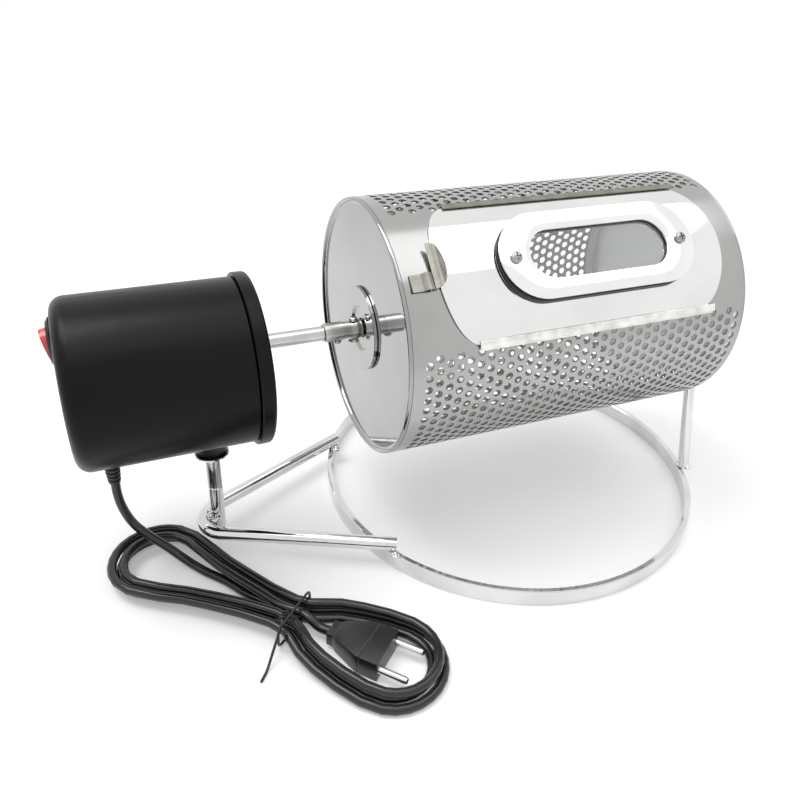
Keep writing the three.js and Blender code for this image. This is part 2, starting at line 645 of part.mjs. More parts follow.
// Door: a curved plate with rounded ends that slides between the rails, and its window
const windowX = 110.5;
const frameHalfLength = 58;
const frameHalfWidth = 23;
const sightHalfLength = 41.3;
const sightHalfWidth = 13;
const glazing = { gasket: 0.5, glass: 1.6, frame: 1, rim: 4.5, step: 1.2 };
const windowBolt = { reach: 49.75, shank: 1.5, head: 3.1, headHeight: 2, domeShare: 0.62 };
{
  const outline = new THREE.Shape();
  const straightStart = door.startX + door.endDepth;
  const straightEnd = door.endX - door.endDepth;
  outline.absellipse(straightEnd, 0, door.endDepth, door.halfWidth, -Math.PI / 2, Math.PI / 2);
  outline.absellipse(straightStart, 0, door.endDepth, door.halfWidth, Math.PI / 2, 3 * Math.PI / 2);
  const blank = raised(outline, 0, 2 * drumRadius, doorSteps);
  const tube = turnedX([
    [doorInner, 0], [doorOuter, 0], [doorOuter, drumLength], [doorInner, drumLength],
  ]);
  const oval = (halfLength, halfWidth, from, to) =>
    raised(roundedBar(halfLength, halfWidth, halfWidth), from, to, filletSteps + 1)
      .translate(windowX, 0, 0);
  const sight = (from, to) => solid(oval(sightHalfLength, sightHalfWidth, from, to));
  const boltHoles = [-1, 1].map((side) => solid(
    rodZ(windowBolt.shank + gap, drumRadius / 2, drumRadius + 4 * overrun, rodSides)
      .translate(windowX + side * windowBolt.reach, 0, 0)));
  const drilled = (shape) => boltHoles.reduce((left, bore) => left.subtract(bore), shape);
  const all = [drumRadius / 2, drumRadius + 4 * overrun];

  place(drum, 'door_plate', drilled(solid(blank).intersect(solid(tube)).subtract(sight(...all))),
    materials.polished);

  const crown = doorOuter + gap;
  const gasketTop = crown + glazing.gasket;
  const glassLow = gasketTop + gap;
  const glassTop = glassLow + glazing.glass;
  const frameLow = glassTop + gap;
  const frameTop = frameLow + glazing.frame;
  const plate = rodX(crown, 0, drumLength, roundSides);
  const gasket = solid(oval(frameHalfLength, frameHalfWidth, drumRadius / 2, gasketTop))
    .subtract(solid(plate)).subtract(sight(...all));
  place(drum, 'window_gasket', drilled(gasket), materials.blackRubber);

  const paneLength = sightHalfLength + glazing.rim;
  const paneWidth = sightHalfWidth + glazing.rim;
  place(drum, 'window_glass', solid(oval(paneLength, paneWidth, glassLow, glassTop)), materials.glass);
  const spacer = solid(oval(
    frameHalfLength - glazing.step, frameHalfWidth - glazing.step, glassLow, glassTop))
    .subtract(solid(oval(paneLength + gap, paneWidth + gap, ...all)));
  place(drum, 'window_spacer', drilled(spacer), materials.matteSteel);
  const front = solid(oval(frameHalfLength, frameHalfWidth, frameLow, frameTop))
    .subtract(sight(...all));
  place(drum, 'window_frame', drilled(front), materials.polished);

  const headLow = frameTop + gap;
  for (const [side, name] of sides) {
    const bolt = turnedZ([
      [0, doorInner], [windowBolt.shank, doorInner], [windowBolt.shank, headLow],
      [windowBolt.head, headLow], [windowBolt.head, headLow + windowBolt.headHeight / 2],
      [windowBolt.head * windowBolt.domeShare, headLow + windowBolt.headHeight],
      [0, headLow + windowBolt.headHeight],
    ], rodSides);
    place(drum, `window_bolt_${name}`, solid(bolt.translate(windowX + side * windowBolt.reach, 0, 0)),
      materials.chrome);
  }
}

// Mains cord: the lead falls from the relief over the hank's near fold into its lobe and runs to
// the waist, where the hank begins. The hank's loops are one base loop, offset step by step: they
// spiral out in the lower layer, climb along a run and spiral in again on top.
const cordLift = 0.15;
const cordFloorZ = cordRadius + cordLift;
const foldTurns = [80, 40, 0, -40, -80];
const hank = {
  x: -126, y: -9, axisX: 0.6724, axisY: -0.7403, turns: 3, stepsPerLoop: 24, sides: 6, pitch: 6.2,
  layer: 5.7, lift: 1.8, liftShare: 0.14, startShare: 0.972, climbFrom: 1.38, climbTo: 1.62,
};
const nearFold = { u: 8, radius: 18 };
const nearLobe = { u: 46, halfWidth: 8 };
const waist = { u: 96, halfWidth: 2 };
const farLobe = { u: 118, halfWidth: 12.5 };
const farFold = { u: 151, radius: 18 };
const leadSides = 8;

function hankPlace(u, v, z) {
  return new THREE.Vector3(
    hank.x + hank.axisX * u - hank.axisY * v, hank.y + hank.axisY * u + hank.axisX * v, z);
}

function foldPoints(fold, middle) {
  return foldTurns.map((turn) => {
    const angle = THREE.MathUtils.degToRad(middle + turn);
    return [fold.u + fold.radius * Math.cos(angle), fold.radius * Math.sin(angle)];
  });
}

const hankLoop = new THREE.CatmullRomCurve3([
  [waist.u, waist.halfWidth], [farLobe.u, farLobe.halfWidth],
  ...foldPoints(farFold, 0),
  [farLobe.u, -farLobe.halfWidth], [waist.u, -waist.halfWidth], [nearLobe.u, -nearLobe.halfWidth],
  ...foldPoints(nearFold, 180),
  [nearLobe.u, nearLobe.halfWidth],
].map(([u, v]) => new THREE.Vector3(u, v, 0)), true);

function easeShare(value) {
  const share = Math.min(Math.max(value, 0), 1);
  return share * share * (3 - 2 * share);
}

// How far the strands rise where the waist draws them together
function waistLiftShare(share) {
  const away = Math.min(share, Math.abs(share - 0.5), 1 - share);
  return away < hank.liftShare ? (1 + Math.cos(Math.PI * away / hank.liftShare)) / 2 : 0;
}

function hankPoint(turn) {
  const share = (hank.startShare + turn) % 1;
  const base = hankLoop.getPoint(share);
  const heading = hankLoop.getTangent(share);
  const out = Math.min(turn, hank.turns - turn) * hank.pitch;
  const climb = easeShare((turn - hank.climbFrom) / (hank.climbTo - hank.climbFrom));
  const rise = hank.layer * climb + hank.lift * waistLiftShare(share);
  return hankPlace(base.x - heading.y * out, base.y + heading.x * out, cordFloorZ + rise);
}

const loopSteps = hank.turns * hank.stepsPerLoop;
const hankPoints = Array.from({ length: loopSteps + 1 }, (_, i) => hankPoint(i / hank.stepsPerLoop));

function extended(points) {
  const onward = (end, before) => end.clone().sub(before).setZ(0).setLength(2 * cordRadius).add(end);
  return [onward(points[0], points[1]), ...points, onward(points.at(-1), points.at(-2))];
}

function leastGap(points) {
  const fine = [];
  for (let i = 0; i < points.length - 1; i += 1) {
    for (let k = 0; k < filletSteps; k += 1) {
      fine.push(points[i].clone().lerp(points[i + 1], k / filletSteps));
    }
  }
  const apart = hank.stepsPerLoop * filletSteps / 2;
  let least = Infinity;
  for (let i = 0; i < fine.length; i += 1) {
    for (let k = i + Math.round(apart / 2); k < fine.length; k += 1) {
      least = Math.min(least, fine[i].distanceTo(fine[k]) - 2 * cordRadius);
    }
  }
  return least;
}

const hankRoute = extended(hankPoints);
console.log(`least gap of the hank to itself: ${leastGap(hankRoute).toFixed(2)} mm`);
place(machine, 'cord_hank', solid(tubeThrough(hankRoute, cordRadius, hank.sides)), materials.blackRubber);

// The plug: a flat moulded body with two round pins, lying in the hank's far lobe
const plug = {
  entry: 116, neck: 5, taper: 20, length: 32, neckHalf: 4, halfWidth: 12, thick: 12, floor: 0.4,
};
const pin = { radius: 2, length: 15.5, spread: 9.3, inset: 3 };
const plugZ = plug.floor + plug.thick / 2;

// The lead's and the tail's points, as [along the hank, across it, height]
const leadRoute = [
  [-14, -2, cordStartZ], [-14, -2, 48], [-13, -1.2, 38], [-9.5, 1.2, 26], [-3, 4.4, 17.5], [5, 7, 11.5],
  [13, 8.4, 6.5], [22, 8.6, 3.4], [32, 7.8, cordFloorZ], [46, 7.2, cordFloorZ],
];
const tailRoute = [[97, 1.2, 9.9], [104, 0.2, 9.2], [109, 0, plugZ], [plug.entry - gap, 0, plugZ]];
{
  const onwards = (end, before, reach) => end.clone()
    .add(end.clone().sub(before).setLength(reach));
  const start = (reach) => onwards(hankRoute[0], hankRoute[1], reach);
  const finish = (reach) => onwards(hankRoute.at(-1), hankRoute.at(-2), reach);
  const stations = (points, steps) => {
    const route = new THREE.CatmullRomCurve3(points);
    return Array.from({ length: steps + 1 }, (_, i) => route.getPointAt(i / steps));
  };
  const lead = stations(
    [...leadRoute.map((point) => hankPlace(...point)), start(3 * cordRadius), start(gap)], leadSteps);
  place(machine, 'cord_lead', solid(tubeThrough(lead, cordRadius, leadSides)), materials.blackRubber);
  const tail = stations(
    [finish(gap), finish(3 * cordRadius), ...tailRoute.map((point) => hankPlace(...point))], tailSteps);
  place(machine, 'cord_tail', solid(tubeThrough(tail, cordRadius, leadSides)), materials.blackRubber);
  const metres = (points) => points.slice(1)
    .reduce((sum, point, i) => sum + point.distanceTo(points[i]), 0) / metre;
  console.log(`cord: lead ${metres(lead).toFixed(3)} m, hank ${metres(hankRoute).toFixed(3)} m, `
    + `tail ${metres(tail).toFixed(3)} m`);
}

function onHank(geometry) {
  const frame = new THREE.Matrix4().makeBasis(
    new THREE.Vector3(hank.axisX, hank.axisY, 0), new THREE.Vector3(-hank.axisY, hank.axisX, 0),
    new THREE.Vector3(0, 0, 1));
  return geometry.applyMatrix4(frame).translate(hank.x, hank.y, 0);
}

{
  const end = plug.entry + plug.length;
  const outline = new THREE.Shape([
    [plug.entry, -plug.neckHalf], [plug.entry + plug.neck, -plug.neckHalf],
    [plug.entry + plug.taper, -plug.halfWidth], [end, -plug.halfWidth], [end, plug.halfWidth],
    [plug.entry + plug.taper, plug.halfWidth], [plug.entry + plug.neck, plug.neckHalf],
    [plug.entry, plug.neckHalf],
  ].map(([u, v]) => new THREE.Vector2(u, v)));
  const slab = raised(outline, plug.floor, plug.floor + plug.thick);
  const pinFrom = end - pin.inset;
  const bores = [-1, 1].map((side) => solid(onHank(
    rodX(pin.radius + gap, pinFrom - gap, end + overrun, rodSides)
      .translate(0, side * pin.spread, plugZ))));
  const body = bores.reduce((left, bore) => left.subtract(bore), solid(onHank(slab)));
  place(machine, 'mains_plug', body, materials.blackRubber);
  for (const [side, name] of sides) {
    const prong = rodX(pin.radius, pinFrom, end + pin.length, rodSides);
    place(machine, `plug_pin_${name}`, solid(onHank(prong.translate(0, side * pin.spread, plugZ))),
      materials.chrome);
  }
}

// Wire tie: a flat twist tie round the hank's waist
const tie = { width: 3, thick: 1, halfAcross: 16.2, shift: -2.5, low: 0.4, high: 16.8 };
{
  const outer = roundedBar(tie.halfAcross, (tie.high - tie.low) / 2, 2 * cordRadius);
  outer.holes.push(roundedBar(
    tie.halfAcross - tie.thick, (tie.high - tie.low) / 2 - tie.thick, 2 * cordRadius - tie.thick));
  const band = new THREE.ExtrudeGeometry(outer, {
    depth: tie.width, bevelEnabled: false, curveSegments: filletSteps - 1,
  })
    .applyMatrix4(new THREE.Matrix4().makeBasis(
      new THREE.Vector3(0, 1, 0), new THREE.Vector3(0, 0, 1), new THREE.Vector3(1, 0, 0)))
    .translate(waist.u, tie.shift, (tie.high + tie.low) / 2);
  place(machine, 'cord_tie', solid(onHank(band)), materials.blackRubber);
}

// The origin goes under the middle of the machine, without its cord
{
  machine.updateMatrixWorld(true);
  const loose = ['cord_lead', 'cord_hank', 'cord_tail', 'mains_plug', 'plug_pin_left', 'plug_pin_right',
    'cord_tie'];
  const bounds = new THREE.Box3();
  machine.traverse((item) => {
    if (item.isMesh && !loose.includes(item.name)) {
      bounds.expandByObject(item, true);
    }
  });
  const middle = (bounds.min.x + bounds.max.x) / 2;
  machine.position.x = -middle;
  console.log(`the drum's near rim lies at x = ${(-middle).toFixed(4)} mm`);
}

export default machine;
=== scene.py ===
import math

import bpy
from mathutils import Matrix, Vector


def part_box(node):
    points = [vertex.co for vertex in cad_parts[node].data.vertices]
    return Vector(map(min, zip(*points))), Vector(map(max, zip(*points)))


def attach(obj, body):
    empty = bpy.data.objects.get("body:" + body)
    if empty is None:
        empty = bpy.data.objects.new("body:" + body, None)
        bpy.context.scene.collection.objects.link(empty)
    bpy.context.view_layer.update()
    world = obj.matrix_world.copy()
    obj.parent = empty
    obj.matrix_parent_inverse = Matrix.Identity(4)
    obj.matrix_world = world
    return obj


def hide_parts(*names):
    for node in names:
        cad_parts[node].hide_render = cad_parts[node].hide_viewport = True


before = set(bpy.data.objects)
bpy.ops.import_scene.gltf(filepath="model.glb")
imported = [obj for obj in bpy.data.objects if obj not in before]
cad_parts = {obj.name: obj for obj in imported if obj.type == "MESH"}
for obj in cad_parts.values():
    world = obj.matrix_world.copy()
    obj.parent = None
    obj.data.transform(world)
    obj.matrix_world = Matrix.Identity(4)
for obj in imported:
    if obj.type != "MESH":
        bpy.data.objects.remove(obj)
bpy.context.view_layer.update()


# Camera: it stands in front of the motor and above the drum, and looks down along the drum.
# Its place is measured from the drum's near rim, like everything else here.
def placed(name, data):
    """A thing made from its data and put in the scene."""
    thing = bpy.data.objects.new(name, data)
    bpy.context.scene.collection.objects.link(thing)
    return thing


near_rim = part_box("near_cap")[0].x
axis_height = (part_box("near_cap")[0].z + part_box("near_cap")[1].z) / 2
camera_place = (near_rim - 0.12905, -0.35048, 0.31243)
camera_yaw, camera_pitch, camera_roll = (math.radians(turn) for turn in (23.95, -30.5, 2.7))
camera_data = bpy.data.cameras.new("camera")
camera = placed("camera", camera_data)
bpy.context.scene.camera = camera
camera.matrix_world = (
    Matrix.Translation(camera_place) @ Matrix.Rotation(-camera_yaw, 4, "Z")
    @ Matrix.Rotation(math.pi / 2 + camera_pitch, 4, "X") @ Matrix.Rotation(camera_roll, 4, "Z"))
camera_data.sensor_width = 36
camera_data.lens = 34.2
camera_data.shift_x = -0.0019
camera_data.shift_y = -0.0234
camera_data.clip_start = 0.01


# Mains cord: round black sheathed cable, 5 mm thick. It falls from the casing over the hank's
# near fold into its lobe, is wound up in three loops that lie in two layers, and ends in a plug.
class Signal:
    """The value of a socket, so that a pattern is written as a sum."""

    def __init__(self, tree, socket):
        self.tree = tree
        self.socket = socket

    def combined(self, operation, first, second):
        node = self.tree.nodes.new("ShaderNodeMath")
        node.operation = operation
        for place, item in zip(node.inputs, (first, second)):
            if isinstance(item, Signal):
                self.tree.links.new(item.socket, place)
            else:
                place.default_value = item
        return Signal(self.tree, node.outputs[0])

    def __add__(self, other):
        return self.combined("ADD", self, other)

    def __sub__(self, other):
        return self.combined("SUBTRACT", self, other)

    def __mul__(self, other):
        return self.combined("MULTIPLY", self, other)

    def __pow__(self, other):
        return self.combined("POWER", self, other)


class Finish:
    """A material in the making."""

    def __init__(self, name, fixed):
        self.material = bpy.data.materials.new(name)
        self.material.use_nodes = True
        self.tree = self.material.node_tree
        self.shader = self.tree.nodes["Principled BSDF"]
        self.place = self.node("TexCoord", {}, {}, "Object")
        for socket, value in fixed.items():
            self.shader.inputs[socket].default_value = value

    def node(self, kind, settings, sockets, output=0):
        node = self.tree.nodes.new("ShaderNode" + kind)
        for name, value in settings.items():
            setattr(node, name, value)
        for name, value in sockets.items():
            if isinstance(value, Signal):
                self.tree.links.new(value.socket, node.inputs[name])
            else:
                node.inputs[name].default_value = value
        return Signal(self.tree, node.outputs[output])

    def spot(self, axis):
        """How far along X, Y or Z a point lies."""
        return self.node("SeparateXYZ", {}, {"Vector": self.place}, axis)

    def noise(self, scale, detail, stretch=(1, 1, 1), turn=(0, 0, 0)):
        spread = self.node("Mapping", {}, {
            "Vector": self.place, "Scale": stretch, "Rotation": turn})
        return self.node("TexNoise", {}, {"Vector": spread, "Scale": scale, "Detail": detail})

    def ramp(self, signal, stops):
        """A colour that changes over a signal, between two stops of (place, colour)."""
        ramp = self.node("ValToRGB", {}, {"Fac": signal})
        for stop, (position, colour) in zip(ramp.socket.node.color_ramp.elements, stops):
            stop.position = position
            stop.color = (*colour, 1)
        return ramp

    def feed(self, socket, signal):
        self.tree.links.new(signal.socket, self.shader.inputs[socket])

    def bump(self, signal, distance, strength):
        self.feed("Normal", self.node("Bump", {}, {
            "Height": signal, "Distance": distance, "Strength": strength}))

    def surface(self, colour, roughness, relief, depth, strength):
        """Feeds colour, roughness and fine relief, and gives the finished material."""
        self.feed("Base Color", colour)
        self.feed("Roughness", roughness)
        self.bump(relief, depth, strength)
        return self.material


cord_radius = 0.0025
cord_floor = 0.00265
hank_place = (near_rim - 0.126, -0.009)
hank_axis = (0.6724, -0.7403)
hank_turns, hank_start, hank_pitch = 3, 0.972, 0.0062
hank_layer, hank_lift, lift_share = 0.0057, 0.0018, 0.14
climb_from, climb_to = 1.38, 1.62
near_fold, far_fold, fold_radius = 0.008, 0.151, 0.018
waist_along, waist_half = 0.096, 0.002


def on_hank(along, across, height):
    return Vector((hank_place[0] + hank_axis[0] * along - hank_axis[1] * across,
                   hank_place[1] + hank_axis[1] * along + hank_axis[0] * across, height))


def fold(middle, facing):
    turns = [math.radians(facing + turn) for turn in (80, 40, 0, -40, -80)]
    return [Vector((middle + fold_radius * math.cos(turn), fold_radius * math.sin(turn), 0))
            for turn in turns]


def between(points, share, closed=False):
    """A smooth curve through the points, whose pull follows the root of their distances."""
    count = len(points)
    reach = (count if closed else count - 1) * share
    step = min(math.floor(reach), count - 1 if closed else count - 2)
    part = reach - step
    here, there = points[step % count], points[(step + 1) % count]
    before = points[step - 1] if closed or step else here * 2 - there
    after = points[(step + 2) % count] if closed or step + 2 < count else there * 2 - here
    first, middle, last = (max((b - a).length, 1e-7) ** 0.5
                           for a, b in ((before, here), (here, there), (there, after)))
    leave = ((here - before) / first - (there - before) / (first + middle)
             + (there - here) / middle) * middle
    arrive = ((there - here) / middle - (after - here) / (middle + last)
              + (after - there) / last) * middle
    return (here + leave * part + ((there - here) * 3 - leave * 2 - arrive) * part ** 2
            + ((here - there) * 2 + leave + arrive) * part ** 3)


hank_loop = [
    Vector((waist_along, waist_half, 0)), Vector((0.118, 0.0125, 0)), *fold(far_fold, 0),
    Vector((0.118, -0.0125, 0)), Vector((waist_along, -waist_half, 0)), Vector((0.046, -0.008, 0)),
    *fold(near_fold, 180), Vector((0.046, 0.008, 0)),
]


def hank_point(turn):
    share = (hank_start + turn) % 1
    base = between(hank_loop, share, True)
    heading = (between(hank_loop, (share + 0.0001) % 1, True)
               - between(hank_loop, (share - 0.0001) % 1, True)).normalized()
    out = min(turn, hank_turns - turn) * hank_pitch
    climb = min(max((turn - climb_from) / (climb_to - climb_from), 0), 1)
    away = min(share, abs(share - 0.5), 1 - share)
    lift = (1 + math.cos(math.pi * away / lift_share)) / 2 if away < lift_share else 0
    rise = hank_layer * climb * climb * (3 - 2 * climb) + hank_lift * lift
    return on_hank(base.x - heading.y * out, base.y + heading.x * out, cord_floor + rise)


lead_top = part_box("cord_lead")[1].z
lead_route = [
    (-0.014, -0.002, lead_top), (-0.014, -0.002, 0.048), (-0.013, -0.0012, 0.038),
    (-0.0095, 0.0012, 0.026), (-0.003, 0.0044, 0.0175), (0.005, 0.007, 0.0115),
    (0.013, 0.0084, 0.0065), (0.022, 0.0086, 0.0034), (0.032, 0.0078, cord_floor),
    (0.046, 0.0072, cord_floor),
]
plug_height = 0.0064
plug_entry = 0.116
tail_route = [
    (0.097, 0.0012, 0.0099), (0.104, 0.0002, 0.0092), (0.109, 0, plug_height),
    (plug_entry, 0, plug_height),
]
loop_steps = 48
hank_points = [hank_point(step / loop_steps) for step in range(hank_turns * loop_steps + 1)]
lead_points = [on_hank(*point) for point in lead_route]
run_out = 0.0125
hank_first, hank_last = hank_points[0], hank_points[-1]
lead_points += [hank_first + (hank_first - hank_points[1]).normalized() * run_out, hank_first]
tail_points = [hank_last, hank_last + (hank_last - hank_points[-2]).normalized() * run_out]
tail_points += [on_hank(*point) for point in tail_route]
lead_steps, tail_steps = 48, 20
cord_points = [between(lead_points, step / lead_steps) for step in range(lead_steps)]
cord_points += hank_points
cord_points += [between(tail_points, step / tail_steps) for step in range(1, tail_steps + 1)]


def round_line(name, points, radius, sides, closed=False):
    """A round bar along a line of points, as a curve."""
    curve = bpy.data.curves.new(name, "CURVE")
    curve.dimensions = "3D"
    curve.bevel_depth = radius
    curve.bevel_resolution = sides
    curve.use_fill_caps = True
    line = curve.splines.new("POLY")
    line.points.add(len(points) - 1)
    line.use_cyclic_u = closed
    line.use_smooth = True
    for point, place in zip(line.points, points):
        point.co = (*place, 1)
    return placed(name, curve)


def sheath_finish(name, roughness):
    """Soft black plastic with a fine skin, a little dust and dulled patches."""
    finish = Finish(name, {"Specular IOR Level": 0.5, "Coat Weight": 0.15, "Coat Roughness": 0.12})
    patches = finish.noise(60, 3)
    black = finish.ramp(patches, [(0.3, (0.006, 0.006, 0.007)), (0.75, (0.016, 0.016, 0.017))])
    return finish.surface(black, patches * 0.16 + (roughness - 0.08),
                          finish.noise(1400, 2), 0.00003, 0.5)


mains_cord = round_line("mains_cord", cord_points, cord_radius, 4)
mains_cord.data.materials.append(sheath_finish("cord_sheath", 0.24))
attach(mains_cord, "stand")
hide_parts("cord_lead", "cord_hank", "cord_tail")
cord_length = sum((b - a).length for a, b in zip(cord_points, cord_points[1:]))


# Strain relief: a ribbed rubber sleeve under the casing. It is moulded round the cord, so the
# cord bends in a wide curve and never at the edge of the casing's hole.
def alone(piece):
    """Selects one piece and nothing else."""
    bpy.ops.object.select_all(action="DESELECT")
    bpy.context.view_layer.objects.active = piece
    piece.select_set(True)


def opened(piece):
    """Opens one piece for editing, with all of it selected."""
    alone(piece)
    bpy.ops.object.mode_set(mode="EDIT")
    bpy.ops.mesh.select_all(action="SELECT")


def edited(piece, *tools):
    """Works on the whole of a piece with mesh tools, then turns its faces outwards."""
    opened(piece)
    for tool, settings in tools:
        tool(**settings)
        bpy.ops.mesh.select_all(action="SELECT")
    bpy.ops.mesh.normals_make_consistent(inside=False)
    bpy.ops.object.mode_set(mode="OBJECT")
    return piece


def meshed(name, corners, edges, faces):
    mesh = bpy.data.meshes.new(name)
    mesh.from_pydata(corners, edges, faces)
    return placed(name, mesh)


def aimed(start, direction):
    """Turns a piece's length into a direction and moves its foot to a place."""
    facing = Vector(direction).to_track_quat("X", "Z").to_matrix().to_4x4()
    return Matrix.Translation(start) @ facing


same_spot = 1e-6


def turned(name, outline, start, direction, steps=64):
    """Spins an outline of (distance along the axis, radius) points about a line."""
    line = meshed(name, [(along, 0, radius) for along, radius in outline],
                  [(step, step + 1) for step in range(len(outline) - 1)], [])
    full_turn = {"steps": steps, "angle": 2 * math.pi, "center": (0, 0, 0), "axis": (1, 0, 0)}
    piece = edited(line, (bpy.ops.mesh.spin, full_turn),
                   (bpy.ops.mesh.remove_doubles, {"threshold": same_spot}))
    piece.data.transform(aimed(start, direction))
    return piece


def fitted(piece, finish, body, slot, *nodes):
    """Smooths a piece, gives it its material, and puts it on its body in place of CAD nodes."""
    alone(piece)
    bpy.ops.object.shade_smooth_by_angle(angle=math.radians(32))
    piece.data.materials.clear()
    piece.data.materials.append(finish)
    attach(piece, body)
    if nodes:
        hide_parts(*nodes)
    return piece


relief_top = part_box("motor_housing")[0].z
relief_x = near_rim - 0.137
relief_outline = [(-0.002, 0), (-0.002, 0.0042), (0.0004, 0.0042), (0.0004, 0.0046),
                  (0.0042, 0.0046)]
for rib in range(5):
    rib_start = 0.0048 + 0.0026 * rib
    rib_radius = 0.0043 - 0.00022 * rib
    relief_outline += [(rib_start, rib_radius - 0.0006), (rib_start + 0.0008, rib_radius - 0.0006),
                       (rib_start + 0.0011, rib_radius), (rib_start + 0.0021, rib_radius - 0.0001)]
relief_outline += [(0.0182, 0.0031), (0.0188, 0.0028), (0.0188, 0)]
strain_relief = fitted(
    turned("strain_relief", relief_outline, (relief_x, 0, relief_top), (0, 0, -1), 32),
    sheath_finish("relief_rubber", 0.42), "stand", "black_rubber", "cord_relief")


# Plug: a flat two-pin plug moulded on the cord in black PVC. It widens from the cord to the pins,
# with a fine groove round it, and its round plated pins are rounded at the tips.
plug_long, plug_wide, plug_thick = 0.032, 0.012, 0.006
bpy.ops.mesh.primitive_cube_add(size=1, location=(0, 0, 0))
plug_body = bpy.context.object
plug_body.name = "plug_body"
for corner in plug_body.data.vertices:
    corner.co = (0.0004 if corner.co.x > 0 else 0, corner.co.y * 0.0084, corner.co.z * 0.0076)
opened(plug_body)
bpy.ops.mesh.select_all(action="DESELECT")
bpy.ops.object.mode_set(mode="OBJECT")
for side in plug_body.data.polygons:
    side.select = side.normal.x > 0.9
bpy.ops.object.mode_set(mode="EDIT")
plug_stations = [
    (0.003, 1.0, 1.0), (0.002, 1.28, 1.2), (0.005, 1.3, 1.12), (0.005, 1.25, 1.06),
    (0.005, 1.18, 1.05), (0.0006, 0.97, 0.96), (0.0006, 1.03, 1.04), (0.0098, 1.0, 1.0)]
for reach, wider, thicker in plug_stations:
    bpy.ops.mesh.extrude_region_move(TRANSFORM_OT_translate={"value": (reach, 0, 0)})
    bpy.ops.transform.resize(value=(1, wider, thicker))
bpy.ops.object.mode_set(mode="OBJECT")
edited(plug_body, (bpy.ops.mesh.bevel, {
    "offset": 0.0011, "segments": 3, "affect": "EDGES", "clamp_overlap": True}))
for axis, size in enumerate((plug_long, plug_wide, plug_thick)):
    now = max(corner.co[axis] for corner in plug_body.data.vertices)
    for corner in plug_body.data.vertices:
        corner.co[axis] *= size / now
hank_facing = Matrix.Translation(on_hank(0, 0, 0)) @ Matrix.Rotation(
    math.atan2(hank_axis[1], hank_axis[0]), 4, "Z")
plug_body.data.transform(hank_facing @ Matrix.Translation((plug_entry, 0, plug_height)))
fitted(plug_body, sheath_finish("plug_pvc", 0.36), "stand", "black_rubber", "mains_plug")


def shades(colour, share, start, end):
    """The stops of a ramp from a darker share of a colour to the colour itself."""
    return [(start, tuple(part * share for part in colour)), (end, colour)]


def chrome_finish(name, colour, roughness):
    """Bright plating with a faint orange peel, small stains and a few dull specks."""
    finish = Finish(name, {"Metallic": 1.0})
    stains = finish.noise(35, 4)
    dulled = stains * 0.07 + finish.noise(900, 2) * 0.02 + (roughness - 0.04)
    return finish.surface(finish.ramp(stains, shades(colour, 0.86, 0.35, 0.62)), dulled,
                          finish.noise(220, 2), 0.00004, 0.35)


chrome = chrome_finish("bright_chrome", (0.74, 0.745, 0.75), 0.07)


def chromed(piece, *nodes):
    return fitted(piece, chrome, "stand", "chrome", *nodes)


pin_outline = [(-0.003, 0), (-0.003, 0.002), (0.0138, 0.002), (0.0149, 0.00165), (0.0155, 0.0009),
               (0.0155, 0)]
for pin_name, side in (("left", -1), ("right", 1)):
    pin_place = on_hank(plug_entry + plug_long, side * 0.0093, plug_height)
    chromed(turned("pin_" + pin_name, pin_outline, pin_place, (*hank_axis, 0), 24),
                             "plug_pin_" + pin_name)


# Twist tie: a thin wire in black plastic, wound round the waist of the hank and twisted on top.
# One of its ends is left long and points away from the machine.
def swept(name, points, radius, sides, closed=False):
    """A round bar along a line of points, as a mesh."""
    piece = round_line(name, points, radius, sides, closed)
    alone(piece)
    bpy.ops.object.convert(target="MESH")
    return edited(piece, (bpy.ops.mesh.remove_doubles, {"threshold": same_spot}))


tie_radius = 0.0007
tie_half, tie_shift, tie_low, tie_high, tie_round = 0.0150, -0.0025, 0.0012, 0.0158, 0.0045
tie_points = []
for corner_turn, side, level in ((0, 1, tie_high), (90, -1, tie_high),
                                 (180, -1, tie_low), (270, 1, tie_low)):
    for step in range(7):
        turn = math.radians(corner_turn + 15 * step)
        inward = 1 if level == tie_high else -1
        tie_points.append(on_hank(
            waist_along + 0.0006 * math.sin(turn),
            tie_shift + side * (tie_half - tie_round) + tie_round * math.cos(turn),
            level - inward * tie_round + tie_round * math.sin(turn)))
tie_loop = swept("twist_tie", tie_points, tie_radius, 2, True)
knot = [on_hank(waist_along - 0.002 + 0.001 * math.cos(step * 1.25), -0.006 - 0.0004 * step,
                0.0155 + 0.0009 * math.sin(step * 1.25)) for step in range(14)]
tail = [on_hank(waist_along - 0.001 + 0.0004 * step, -0.0115 - 0.0026 * step,
                max(0.0151 - 0.0019 * step, 0.0009)) for step in range(11)]
tie_twist = swept("tie_twist", knot + tail, tie_radius, 2)
tie_finish = sheath_finish("tie_plastic", 0.4)
fitted(tie_loop, tie_finish, "stand", "cord_sheath", "cord_tie")
fitted(tie_twist, tie_finish, "stand", "cord_sheath")


# Base ring: a flat steel strip bent on edge into a hoop, butt welded, ground and chromed. The
# whole machine stands on its lower edge.
ring_low, ring_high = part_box("base_ring")
ring_radius = (ring_high.y - ring_low.y) / 2
ring_x = (ring_low.x + ring_high.x) / 2
ring_strip, ring_tall, ring_edge = 0.0035, ring_high.z, 0.0006
ring_inner = ring_radius - ring_strip
ring_outline = [
    (ring_edge, ring_radius), (0, ring_radius - ring_edge), (0, ring_inner + ring_edge),
    (ring_edge, ring_inner), (ring_tall - ring_edge, ring_inner),
    (ring_tall, ring_inner + ring_edge), (ring_tall, ring_radius - ring_edge),
    (ring_tall - ring_edge, ring_radius), (ring_edge, ring_radius),
]
chromed(turned("ring_strip", ring_outline, (ring_x, 0, 0), (0, 0, 1), 160), "base_ring")


